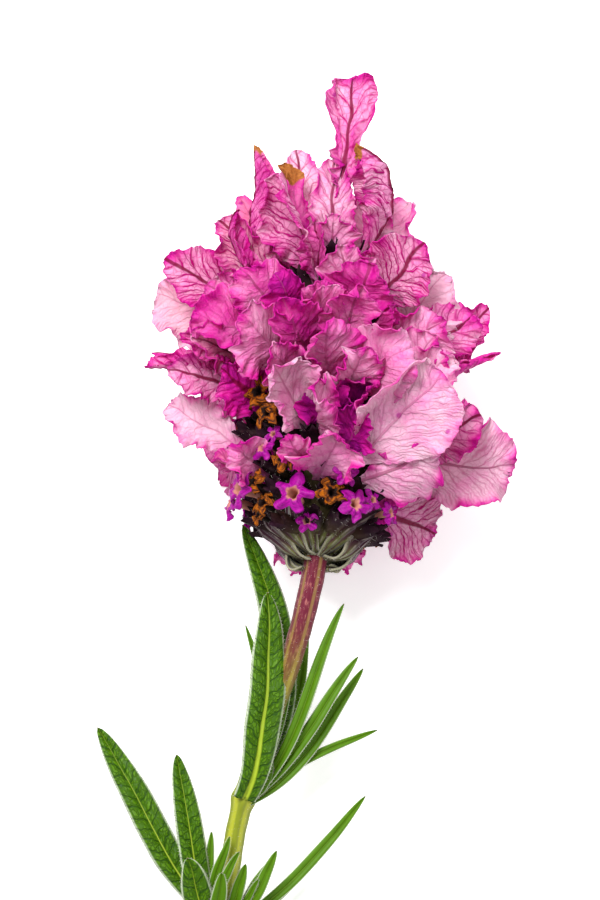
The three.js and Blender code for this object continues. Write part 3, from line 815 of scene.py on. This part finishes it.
spot_kept = ease(tree, put(tree, "SeparateColor", {0: spots.outputs["Color"]}).outputs[0], 0.74, 0.76)
spot_share = minus(tree, 1.0, ease(tree, spots.outputs["Distance"], 0.06, 0.16))
spot_share = times(tree, times(tree, spot_share, spot_kept), 0.8)
tissue_colour = mixed(tree, spot_share, tissue_colour, (0.5, 0.01, 0.33, 1))
vein_share = maths(tree, "MULTIPLY", all_veins, veined, clamp=True)
colour = mixed(tree, vein_share, tissue_colour, (0.52, 0.0, 0.2, 1))
plain_rib = mixed(tree, 0.5, tissue_colour, (0.6, 0.1, 0.3, 1))
rib_colour = mixed(tree, ease(tree, veined, 0.2, 0.8), plain_rib, (0.24, 0.0, 0.045, 1))
colour = mixed(tree, times(tree, midrib, 0.92), colour, rib_colour)
brown = mixed(tree, speckle(tree, shifted, 3.0), (0.26, 0.06, 0.012, 1), (0.72, 0.3, 0.07, 1))
dry_share = ease(tree, plus(tree, dried, blotch), 0.45, 0.6)
colour = mixed(tree, dry_share, colour, brown)
tree.links.new(colour, shader.inputs["Base Color"])
relief = plus(tree, maths(tree, "MAXIMUM", all_veins, midrib), times(tree, grain, 0.6))
bumped(tree, shader, relief, 0.1)
let_light_through(tree, shader, colour, 0.35)

# Colour: tone (pale to magenta; a high tone on the deep-set front petals is partly painted shade), rim (how
# much deeper its edge is), veins, warm, and dry past dry_from.
# Curve: curl and tip_roll (degrees that the tip bends), arch and bow (mm that the midrib bends).
# Sides: left and right (degrees of fold at the midrib, of roll out to the rim), lopsided (one side wider).
# Outline: claw (mm), swell (where along it the blade widens), full (where it starts to close), point.
# Surface: ruffle (mm at the rim) and ripple (mm between the veins).
plain_look = dict(
    tone=0.4, rim=0.4, veins=0.5, warm=0, dry=0, dry_from=0.8,
    curl=18, arch=0, bow=0, tip_roll=0, left=(8, 20), right=(8, 20), lopsided=0,
    claw=1.3, swell=(0.08, 0.6), full=0.66, point=0.3, ruffle=0.7, ripple=0.16,
)
# name, share of the spike, compass, tip from the spike's middle (across, along, toward), width, facing, look
petal_rows = [
    ("under_1", 0.3, 215, (-14, 2, -21), 9, (0, 0, -1), dict(tone=0.3)),
    ("under_2", 0.3, 325, (15, 3, -21), 9, (0, 0, -1), dict(tone=0.4)),
    ("under_3", 0.5, 256, (-5, -9, -22), 9, (0, 0, -1), dict(tone=0.3)),
    ("under_4", 0.66, 222, (-15, 8, -21), 9, (0, 0, -1), dict(tone=0.5)),
    ("under_5", 0.62, 320, (16, 7, -21), 9, (0, 0, -1), dict(tone=0.3)),
    ("under_6", 0.84, 275, (1, 14, -20), 9, (0, 0, -1), dict(tone=0.4)),
    ("crown_1", 0.97, 80, (2.2, 20.5, 3), 6.6, (0, 0, 1),
     dict(tone=0.24, rim=0.35, veins=1.05, claw=2.6, swell=(0.7, 0.84), full=0.88, ruffle=1.3, left=(0, 90),
          right=(5, 20), point=-0.5)),
    ("crown_2", 0.95, 140, (-3.2, 14, 0), 5.4, (0.2, 0, 1),
     dict(tone=0.02, rim=0.2, veins=0.8, claw=2.6, ruffle=0.4, left=(0, 30), right=(0, 30))),
    ("crown_3", 0.93, 70, (2.9, 15, 6), 8, (-1, 0, 0.3),
     dict(tone=0.24, veins=1.25, dry=1.0, left=(64, 20), right=(50, 20), arch=4.6, curl=-45, ruffle=0.4,
          ripple=0.4, rim=0.3, dry_from=0.92)),
    ("crown_4", 0.9, 350, (8, 11, -2), 6, (0, 0, 1),
     dict(tone=0.1, veins=0.4, tip_roll=-60, left=(30, 60), right=(10, 60))),
    ("crown_5", 0.8, 165, (-8.4, 18.6, 3), 7, (1, 0, 0.45),
     dict(tone=0.4, veins=1.25, dry=0.7, left=(74, -10), right=(50, 10), curl=-10, arch=0.6, ruffle=0.4,
          point=0.5, rim=0.1, dry_from=0.88)),
    ("crown_6", 0.86, 105, (-5.2, 13.4, 8), 8.4, (-0.35, 0, 1),
     dict(tone=0.22, veins=1.2, left=(12, 60), right=(60, 30), curl=8, arch=1, ruffle=0.5, rim=0.3)),
    ("crown_7", 0.86, 92, (-1.8, 8.2, 8), 5, (-0.4, 0, 1),
     dict(tone=0.42, rim=0.2, veins=0.9, left=(20, 20), right=(30, 20), ruffle=0.4)),
    ("crown_8", 0.92, 128, (-4.9, 13.2, 3), 3.8, (0.3, 0, 1),
     dict(tone=0.45, veins=0.3, dry=1.6, ruffle=0.9, left=(20, 50), right=(20, 50), point=-0.2,
          dry_from=0.7)),
    ("crown_9", 0.86, 160, (-10.3, 12, 0), 3, (0.5, 0, 1), dict(tone=0.5, warm=0.4, veins=0.3, ruffle=0.4)),
    ("crown_10", 0.88, 60, (4.5, 4.2, 8), 4.4, (-0.4, -0.3, 1),
     dict(tone=0.4, veins=0.4, left=(30, 60), right=(20, 420), ruffle=0.2)),
    ("crown_11", 0.93, 80, (0.6, 7, 6), 5.5, (0, -0.2, 1), dict(tone=0.22, veins=0.5, ruffle=0.9)),
    ("crown_12", 0.94, 20, (5, 9.5, 2), 5, (0, 0, 1), dict(tone=0.1, veins=0.4, ruffle=0.8)),
    ("crown_13", 0.93, 85, (0.6, 13.4, 4), 6, (0, 0, 1),
     dict(tone=0.14, veins=0.7, rim=0.3, ruffle=0.5, swell=(0, 0.3), full=0.42, point=0.4, left=(0, 40),
          right=(0, 40))),
    ("crown_14", 0.8, 72, (2, 7.4, 9), 6, (0.2, 0, 1), dict(tone=0.26, veins=0.6, ruffle=0.9)),
    ("left_1", 0.84, 165, (-11.8, 9.4, 3), 7, (0.3, 0, 1),
     dict(tone=0.24, warm=0.3, veins=1.2, left=(0, 30), right=(40, 20), ruffle=0.8, point=0.9)),
    ("left_2", 0.8, 190, (-18, 6.4, 2), 7.8, (0, 0, 1),
     dict(tone=0.24, veins=1.25, left=(5, 20), right=(10, 20), curl=10, ruffle=0.3, ripple=0.2, point=0.8)),
    ("left_3", 0.72, 205, (-19.8, 5, -4), 9, (0.2, 0, 1),
     dict(tone=0.0, rim=0.12, warm=0.22, veins=0.15, ruffle=1.0, dry=0.15)),
    ("left_4", 0.7, 140, (-14.6, 2.4, 10), 8, (-0.1, 0.3, 1),
     dict(tone=0.5, veins=0.3, ruffle=1.1, tip_roll=-40)),
    ("left_5", 0.54, 165, (-20, 2, 5), 6, (0.1, 1, 0.5),
     dict(tone=0.35, veins=1.5, left=(55, 20), right=(45, 20), curl=0, ruffle=0.6, point=0.8)),
    ("left_6", 0.46, 142, (-11.5, 4.5, 9), 6.4, (0, 0, 1), dict(tone=0.74, rim=0, veins=1.4, ruffle=0.7)),
    ("left_7", 0.3, 170, (-17.4, 6.2, 1.5), 5.6, (0, 0.2, 1),
     dict(tone=0.0, rim=0.3, veins=0.12, ruffle=0.6)),
    ("left_8", 0.22, 150, (-9.4, 4.6, 9), 5.8, (0.2, 0, 1),
     dict(tone=0.26, rim=0.4, veins=0.35, ruffle=0.9, tip_roll=-60, right=(0, 70))),
    ("left_9", 0.84, 178, (-12.2, 11.4, 4), 4, (0.9, 0, 0.6),
     dict(tone=0.5, veins=1.5, left=(60, 0), right=(50, 0), tip_roll=95, ruffle=0.4, point=0.9, bow=-3)),
    ("left_10", 0.62, 160, (-16, 2.6, 8), 5.6, (0, 0.4, 1),
     dict(tone=0.42, veins=1, ruffle=0.8, ripple=0.3)),
    ("left_11", 0.56, 178, (-19, 3.4, 3), 4.4, (0.1, -1, 0.5),
     dict(tone=0.4, veins=1, left=(50, 20), right=(60, 20), curl=0, ruffle=0.5, point=0.8)),
    ("left_12", 0.2, 165, (-12.2, 2.6, 4), 3.6, (0, 1, 0.6),
     dict(tone=0.5, warm=0.3, veins=0.6, left=(50, 20), right=(50, 20), ruffle=0.5, dry=0.4)),
    ("left_13", 0.72, 168, (-13.4, 6.4, 2), 7.4, (0, 0.1, 1), dict(tone=0.32, veins=0.6, ruffle=1.0)),
    ("left_14", 0.9, 150, (-8.6, 6.5, 3), 6, (0.2, 0, 1), dict(tone=0.42, veins=0.8, ruffle=0.8)),
    ("left_15", 0.58, 156, (-14.5, 4.6, 9), 6.4, (0, 0.2, 1),
     dict(tone=0.3, veins=0.6, warm=0.2, ruffle=0.9)),
    ("left_16", 0.5, 172, (-17.5, 3.2, 5.5), 5, (0, 0.4, 1), dict(tone=0.2, veins=0.8, ruffle=0.7)),
    ("front_1", 0.7, 95, (-0.5, 6, 12.5), 7.6, (0, -0.2, 1),
     dict(tone=0.44, veins=0.5, ruffle=0.8, tip_roll=-40)),
    ("front_2", 0.62, 118, (-9.6, 5, 14), 9.6, (0, 0, 1),
     dict(tone=0.26, veins=0.2, rim=0.3, ruffle=1.0, left=(-5, 20), right=(15, 40))),
    ("front_3", 0.5, 82, (0.3, 8.7, 15), 6.8, (-0.4, 0, 1),
     dict(tone=0.36, rim=0.25, veins=0.3, left=(30, 120), right=(-20, -60), ruffle=0.7)),
    ("front_4", 0.5, 62, (9.1, 6.2, 15), 9, (-0.1, 0.3, 1),
     dict(tone=0.26, rim=0.05, veins=0.1, tip_roll=-90, ruffle=0.8, left=(20, 20), right=(10, -40))),
    ("front_5", 0.36, 100, (-5.6, 9, 15.5), 9, (0.3, 0, 1),
     dict(tone=0.1, rim=0.15, veins=0.3, left=(10, 70), right=(10, 70), ruffle=0.6, tip_roll=40, curl=-10)),
    ("front_6", 0.2, 92, (1.8, 6.2, 12.8), 9, (0, -0.3, 1),
     dict(tone=0.24, rim=0.8, veins=0.2, left=(10, 60), right=(10, 60), ruffle=0.9, tip_roll=0, point=-0.5,
          full=0.6, swell=(0.1, 0.5), curl=-6)),
    # front_7, front_8 and front_9: their high tone is partly their own deep magenta and partly painted shade
    # from the petals around them.
    ("front_7", 0.4, 66, (6, 5.6, 10.6), 7.4, (-0.3, 0.2, 1),
     dict(tone=0.92, rim=-0.3, veins=0.15, left=(30, 60), right=(30, 60), ruffle=0.6)),
    ("front_8", 0.74, 115, (-6.5, 6, 11), 4.8, (0, 0, 1), dict(tone=0.84, rim=0, veins=0.1, ruffle=0.7)),
    ("front_9", 0.7, 104, (-3, 4, 13), 4.6, (0.2, -0.3, 1), dict(tone=0.84, rim=0, veins=0.1, ruffle=0.7)),
    ("front_10", 0.64, 88, (-0.5, 7.6, 13), 6.4, (0.1, -0.2, 1),
     dict(tone=0.42, veins=0.2, rim=0, ruffle=0.6)),
    ("front_11", 0.66, 58, (6.4, 5.5, 11), 5.4, (1, 0, 0.5),
     dict(tone=0.5, veins=1, left=(50, 20), right=(50, 20), ruffle=0.5)),
    ("front_12", 0.34, 92, (-2, 6.4, 16), 6.6, (0.7, 0.2, 1),
     dict(tone=0.2, rim=0.5, veins=0.3, left=(60, 40), right=(0, 60), ruffle=1.0)),
    # front_13: its high tone is partly its own deep magenta and partly painted shade.
    ("front_13", 0.36, 84, (0.5, 6.6, 11), 7, (0, -0.2, 1),
     dict(tone=0.92, rim=-0.1, veins=0.1, ruffle=0.6)),
    ("front_14", 0.24, 106, (-3.8, 5.2, 12), 3.8, (-0.1, 0.2, 1),
     dict(tone=0.35, rim=0.5, veins=0.3, ruffle=0.9)),
    ("front_15", 0.62, 75, (4, 8.4, 14), 6.8, (-0.2, 0, 1),
     dict(tone=0.4, veins=0.5, ruffle=1.0, left=(20, 70))),
    ("front_16", 0.46, 74, (4, 7, 14), 6, (0.3, -0.1, 1), dict(tone=0.24, rim=0.4, veins=0.3, ruffle=1.0)),
    ("front_17", 0.76, 68, (4.5, 6, 11), 7.4, (0, -0.1, 1),
     dict(tone=0.6, veins=0.6, ruffle=0.9, tip_roll=-30)),
    ("front_18", 0.72, 128, (-9.4, 7, 9), 7.4, (0, 0, 1), dict(tone=0.4, veins=0.5, ruffle=1.0)),
    ("front_19", 0.6, 100, (-4.4, 7.4, 14.5), 6.6, (0.1, 0, 1), dict(tone=0.6, veins=0.3, ruffle=0.9)),
    ("front_20", 0.52, 112, (-6, 5, 14), 6, (0.2, 0, 1), dict(tone=0.34, veins=0.3, ruffle=0.9)),
    # front_21: its high tone is partly its own deep magenta and partly painted shade.
    ("front_21", 0.3, 72, (4.6, 6, 11.5), 6.4, (-0.2, 0, 1),
     dict(tone=0.85, rim=0.1, veins=0.2, ruffle=0.7)),
    ("right_1", 0.82, 35, (10.5, 6.9, 9.5), 8.8, (0, 0, 1),
     dict(tone=0.22, veins=1.3, left=(10, 20), right=(5, 30), curl=8, ruffle=0.45, ripple=0.2, point=0.9,
          rim=0.3)),
    ("right_2", 0.68, 12, (13.4, 8, 3), 9.4, (0, 0, 1), dict(tone=0.0, rim=0.1, veins=0.15, ruffle=0.8)),
    ("right_3", 0.56, 342, (19, 8.8, -3.5), 7.6, (0, 0, 1),
     dict(tone=0.36, veins=1.4, left=(10, 20), right=(30, 20), curl=0, ruffle=0.6, point=0.9)),
    ("right_4", 0.48, 20, (19.5, 6, 2.5), 5, (0, 0.3, 1),
     dict(tone=0.45, veins=0.7, left=(30, 120), right=(30, 100), ruffle=0.6)),
    ("right_5", 0.24, 66, (13.1, 11.5, 11), 11, (0, 0, 1),
     dict(tone=0.1, rim=0.15, veins=0.25, left=(5, 80), right=(0, 10), curl=24, ruffle=0.4, point=0)),
    ("right_6", 0.3, 6, (21.6, -0.6, 2), 10.4, (0, 0, 1),
     dict(tone=0.04, rim=0.45, veins=0.5, left=(0, 30), right=(0, 20), ruffle=1.1)),
    ("right_7", 0.2, 56, (12.5, 4.6, 9.4), 8, (0, 0, 1),
     dict(tone=0.12, rim=0.65, veins=0.5, lopsided=0.4, left=(0, 20), right=(0, -60), ruffle=0.8,
          point=0.7)),
    ("right_8", 0.15, 345, (13.5, -3.5, -4.5), 9, (0, 0, 1),
     dict(tone=0.1, rim=0.35, veins=1.1, left=(0, 10), right=(0, 20), curl=0, ruffle=0.4, ripple=0.24)),
    ("right_9", 0.64, 355, (15.2, 5.8, 1), 5.4, (0, 0, 1), dict(tone=0.5, veins=1, ruffle=0.6, point=0.8)),
    ("right_10", 0.32, 26, (17.5, 4.4, 6), 6.8, (0, -0.2, 1), dict(tone=0.3, veins=1, rim=0.5, ruffle=0.9)),
    ("right_11", 0.5, 32, (12.5, 7, 7), 7.6, (0, 0.1, 1), dict(tone=0.28, veins=0.5, ruffle=1.0)),
    ("right_12", 0.58, 40, (13.4, 6.5, 7), 7.4, (0, 0, 1), dict(tone=0.25, veins=0.6, ruffle=0.9)),
    ("right_13", 0.6, 20, (16.5, 6.5, 3), 7, (0, 0, 1), dict(tone=0.3, veins=0.9, ruffle=0.7)),
    ("right_14", 0.84, 5, (8.6, 5.5, 1), 6.4, (0, 0, 1), dict(tone=0.12, veins=0.5, ruffle=0.9)),
    ("right_15", 0.4, 40, (14, 8.4, 7), 7.6, (0, 0.1, 1), dict(tone=0.15, veins=0.3, rim=0.2, ruffle=0.9)),
    ("right_16", 0.1, 35, (8.4, 1.4, 3), 3.6, (0, -0.3, 1), dict(tone=0.7, veins=0.2, ruffle=0.8)),
    ("base_1", 0.03, 232, (-3.4, -3.2, -9), 3.8, (0, 0, 1), dict(tone=0.4, rim=0.2, veins=0.3, ruffle=1.0)),
    ("base_2", 0.03, 300, (4, -3.3, -9), 3.8, (0, 0, 1), dict(tone=0.4, rim=0.2, veins=0.3, ruffle=1.0)),
]
# how many petals of each group stand for a node
node_petals = {"under": 6, "crown": 6, "left": 8, "front": 7, "right": 8, "base": 0}


def in_grid(vector):
    across, along, toward = vector
    return ACROSS * across + ALONG * along + TOWARD * toward


def petal_half_width(width, t, look):
    """A narrow claw that swells to a blade with a round or pointed tip."""
    claw = 0.5 * look["claw"]
    full = look["full"]
    past = max(0, (t - full) / (1 - full))
    swell = between(t, *look["swell"])
    ending = max(0, 1 - past ** (2.4 - look["point"])) ** (0.5 + 0.3 * look["point"])
    return (claw + (0.5 * width - claw) * swell) * ending + 0.02


def rolled(u, fold, roll):
    """Where a side of the blade lies (outwards, up) at a share of its width, and its turn there."""
    start, bend = math.radians(fold), math.radians(roll)
    if abs(bend) < 0.01:
        return u * math.cos(start), u * math.sin(start), start
    end = start + bend * u
    return (math.sin(end) - math.sin(start)) / bend, (math.cos(start) - math.cos(end)) / bend, end


def petal_mesh(share, compass, tip, width, faces, look, seed, columns=46, rows=60):
    look = plain_look | look
    foot = on_spike(share, compass, 0.85)
    leave = (outwards(compass) + (tip - foot).normalized()).normalized()
    path, length = sheet_path(foot, leave, tip, faces, look["curl"], look["arch"], look["bow"])
    chance = random.Random(seed)
    swings = ((5, 0.8), (11, 0.6), (23, 0.35))
    waves = [(count * chance.uniform(0.85, 1.15), chance.uniform(0, 6.3), size) for count, size in swings]
    depth = look["ruffle"] * min(1, width / 7.5)
    zone = min(2.2, 0.3 * width)
    mesh = cloth_of(columns, rows)
    tissue = mesh.loops.layers.uv["tissue"]
    names = ("seed", "tone", "veined", "dried", "warm", "far")
    layers = {key: mesh.verts.layers.float.new(key) for key in names}
    roll_start = 0.74
    spine = {}
    for row in range(rows + 1):
        t = 1 - (1 - row / rows) ** 1.3
        if look["tip_roll"] and t > roll_start:
            middle, forward, sideways, normal = path(roll_start)
            x, z, turn = rolled(1, 0, look["tip_roll"] * (t - roll_start) / (1 - roll_start))
            beyond = (t - roll_start) * length
            middle = middle + forward * x * beyond + normal * z * beyond
            ahead = forward * math.cos(turn) + normal * math.sin(turn)
            normal = normal * math.cos(turn) - forward * math.sin(turn)
            spine[row] = t, middle, ahead, sideways, normal
        else:
            spine[row] = t, *path(t)
    flat = {}
    for vertex in mesh.verts:
        row = round((0.5 + 0.5 * vertex.co.y) * rows)
        t, middle, forward, sideways, normal = spine[row]
        u = 0.45 * vertex.co.x + 0.55 * math.sin(0.5 * math.pi * vertex.co.x)
        hand = 1 if u > 0 else -1
        half = petal_half_width(width, t, look) * (1 + hand * look["lopsided"])
        swell = between(t, 0.12, 0.55)
        flat_x, flat_y = u * half, t * length
        rim = max(0, 1 - min((1 - abs(u)) * half, (1 - t) * length) / zone)
        spread = math.atan2(flat_x, flat_y - 0.55 * length)
        wave = sum(size * math.sin(count * spread + phase) for count, phase, size in waves)
        torn = noise.noise(Vector((spread * 9, seed * 3.1, 0)))
        torn += 0.9 * noise.noise(Vector((spread * 24, seed, 5)))
        torn += 0.5 * noise.noise(Vector((spread * 48, seed, 9)))
        lobe = noise.noise(Vector((spread * 2.2, seed * 1.9, 0)))
        fold, roll = look["right"] if u > 0 else look["left"]
        x, z, turn = rolled(abs(u), fold, roll * swell)
        outward = sideways * hand * math.cos(turn) + normal * math.sin(turn)
        upward = normal * math.cos(turn) - sideways * hand * math.sin(turn)
        climb = flat_y - vein_slant * abs(flat_x) + vein_bend * flat_x * flat_x
        crease = noise.noise(Vector((climb / 0.9, abs(flat_x) / 2.6, seed * 2.3 + hand)))
        pucker = noise.noise(Vector((climb / 0.45, abs(flat_x) / 1.2, seed * 1.3 + hand)))
        room = min(1, half / (0.3 * width))
        quilt = look["ripple"] * room * swell * (1 - 2 * abs(crease) + 0.4 * pucker)
        lift = depth * room * swell * rim ** 1.5 * wave + quilt
        spot = middle + sideways * hand * x * half + normal * z * half + upward * lift
        spot += outward * (0.26 * torn + 0.5 * lobe * swell) * rim ** 3 * abs(u) * room * min(1, width / 6)
        spot += forward * (0.26 * torn + 0.5 * lobe) * between(t, 0.82, 1.0) * min(1, width / 6)
        spot += noise.noise_vector(spot / 6.5) * 0.9 * swell
        spot += noise.noise_vector(spot / 2.1 + Vector((seed, 0, 0))) * 0.28 * swell
        vertex.co = keep_above_table(spot, 0.15 + 0.5 * (seed % 5) / 5)
        edge = look["rim"] * rim ** 3 * swell * (1 + 0.6 * wave) + 0.12 * wave * rim
        shade = min(look["tone"] + edge, max(look["tone"], 0.66))
        vertex[layers["seed"]] = seed * 1.37
        vertex[layers["far"]] = t
        vertex[layers["tone"]] = min(1, max(0, shade + 0.25 * (1 - swell) * look["tone"]))
        vertex[layers["veined"]] = look["veins"] * (1 - 0.3 * rim)
        vertex[layers["warm"]] = look["warm"] * (1 - rim ** 2)
        vertex[layers["dried"]] = look["dry"] * between(t, look["dry_from"], 1.0)
        flat[vertex.index] = (flat_x, flat_y)
    for face in mesh.faces:
        for loop in face.loops:
            loop[tissue].uv = flat[loop.vert.index]
    return mesh


def finish_petals(name, mesh, *nodes):
    thicken(finish_piece(name, mesh, petal_skin, "petal", *nodes), petal_thickness)


for order, (name, share, compass, reach, width, faces, look) in enumerate(petal_rows):
    group, number = name.split("_")
    nodes = [f"petal_{name}"] if int(number) <= node_petals[group] else []
    mesh = petal_mesh(share, compass, on_axis(share) + in_grid(reach), width, in_grid(faces), look, order + 1)
    finish_petals(f"frill_{name}", mesh, *nodes)

# The far side of the head is as full as the near one. Its petals bend where the table stops them.
# share of the spike, compass of the ring's first and last petal
far_rings = [
    (0.12, 238, 330), (0.27, 226, 358), (0.42, 184, 358),
    (0.56, 182, 358), (0.7, 182, 358), (0.84, 182, 358),
]
petals_in_far_ring = 8
chance = random.Random(23)
for ring, (share, first, last) in enumerate(far_rings):
    joined = bmesh.new()
    for step in range(petals_in_far_ring):
        place_in_ring = (step + 0.5 * (ring % 2) + chance.uniform(-0.2, 0.2)) / petals_in_far_ring
        compass = first + (last - first) * place_in_ring
        tip = on_axis(share) + outwards(compass) * (spike_half(share) + chance.uniform(7, 10))
        tip += SPIKE * chance.uniform(0, 5)
        buried = max(0, 0.8 - tip.z)
        tip.z = max(tip.z, 0.8)
        tip += SPIKE_RIGHT * math.copysign(0.4 * buried, math.cos(math.radians(compass)))
        faces = SPIKE + outwards(compass) * chance.uniform(-0.2, 0.9)
        faces += SPIKE_RIGHT * chance.uniform(-0.5, 0.5)
        look = dict(
            tone=chance.uniform(0.1, 0.6), veins=chance.uniform(0.2, 0.9), ruffle=chance.uniform(0.7, 1.1),
            left=(10, chance.uniform(-40, 50)), right=(10, chance.uniform(-40, 50)),
        )
        seed = 100 + ring * petals_in_far_ring + step
        width = chance.uniform(7, 9)
        join_into(joined, petal_mesh(share, compass, tip, width, faces, look, seed, 30, 40))
    finish_petals(f"frills_behind_{ring + 1}", joined)

# ---- Wool ------------------------------------------------------------------------------------------------
# The fine white hairs that cover the stem, the calyces, the bracts under the head and the rims of the
# leaves, each one a tiny three-sided spike.


def add_hair(mesh, root, direction, length, breadth):
    direction = direction.normalized()
    side = direction.orthogonal().normalized() * breadth
    other = direction.cross(side)
    corners = (side, other * 0.87 - side * 0.5, -other * 0.87 - side * 0.5)
    ring = [mesh.verts.new(root + corner) for corner in corners]
    tip = mesh.verts.new(root + direction * length)
    mesh.faces.new(reversed(ring))
    for first, second in zip(ring, ring[1:] + ring[:1]):
        mesh.faces.new((first, second, tip))


def random_turn(chance, size):
    return Vector([chance.uniform(-size, size) for _ in range(3)])


stem_hairs = 900
hairs_on_calyx = 22
chance = random.Random(11)
wool = bmesh.new()
for _ in range(stem_hairs):
    share = chance.random()
    angle = chance.uniform(0, 2 * math.pi)
    root = stem_surface(angle, share)
    out = (root - stem_middle(share)).normalized()
    add_hair(wool, root, out + random_turn(chance, 0.5), chance.uniform(0.15, 0.4), 0.012)
for root, direction, t, edge in bract_spots:
    if chance.random() < 0.08 + 0.9 * edge ** 8:
        add_hair(wool, root, direction + random_turn(chance, 0.9), chance.uniform(0.2, 0.6), 0.016)
for root, direction in leaf_rims:
    add_hair(wool, root, direction + random_turn(chance, 0.6), chance.uniform(0.12, 0.28), 0.02)
for foot, direction, size in calyx_feet:
    for _ in range(hairs_on_calyx):
        angle = chance.uniform(0, 2 * math.pi)
        side = direction.orthogonal().normalized()
        out = (side * math.cos(angle) + direction.cross(side) * math.sin(angle)).normalized()
        root = foot + (out * 1.1 + direction * calyx_length * chance.uniform(0.25, 1.0)) * size
        lean_out = out + direction * 0.8 + random_turn(chance, 0.5)
        add_hair(wool, root, lean_out, chance.uniform(0.3, 0.7), 0.022)
for vertex in wool.verts:
    vertex.co.z = max(vertex.co.z, 0.1)
skin, tree, shader = new_skin("white_hair", 0.6, 0.3)
shader.inputs["Base Color"].default_value = (0.72, 0.68, 0.6, 1)
finish_piece("wool", wool, skin, "calyx")
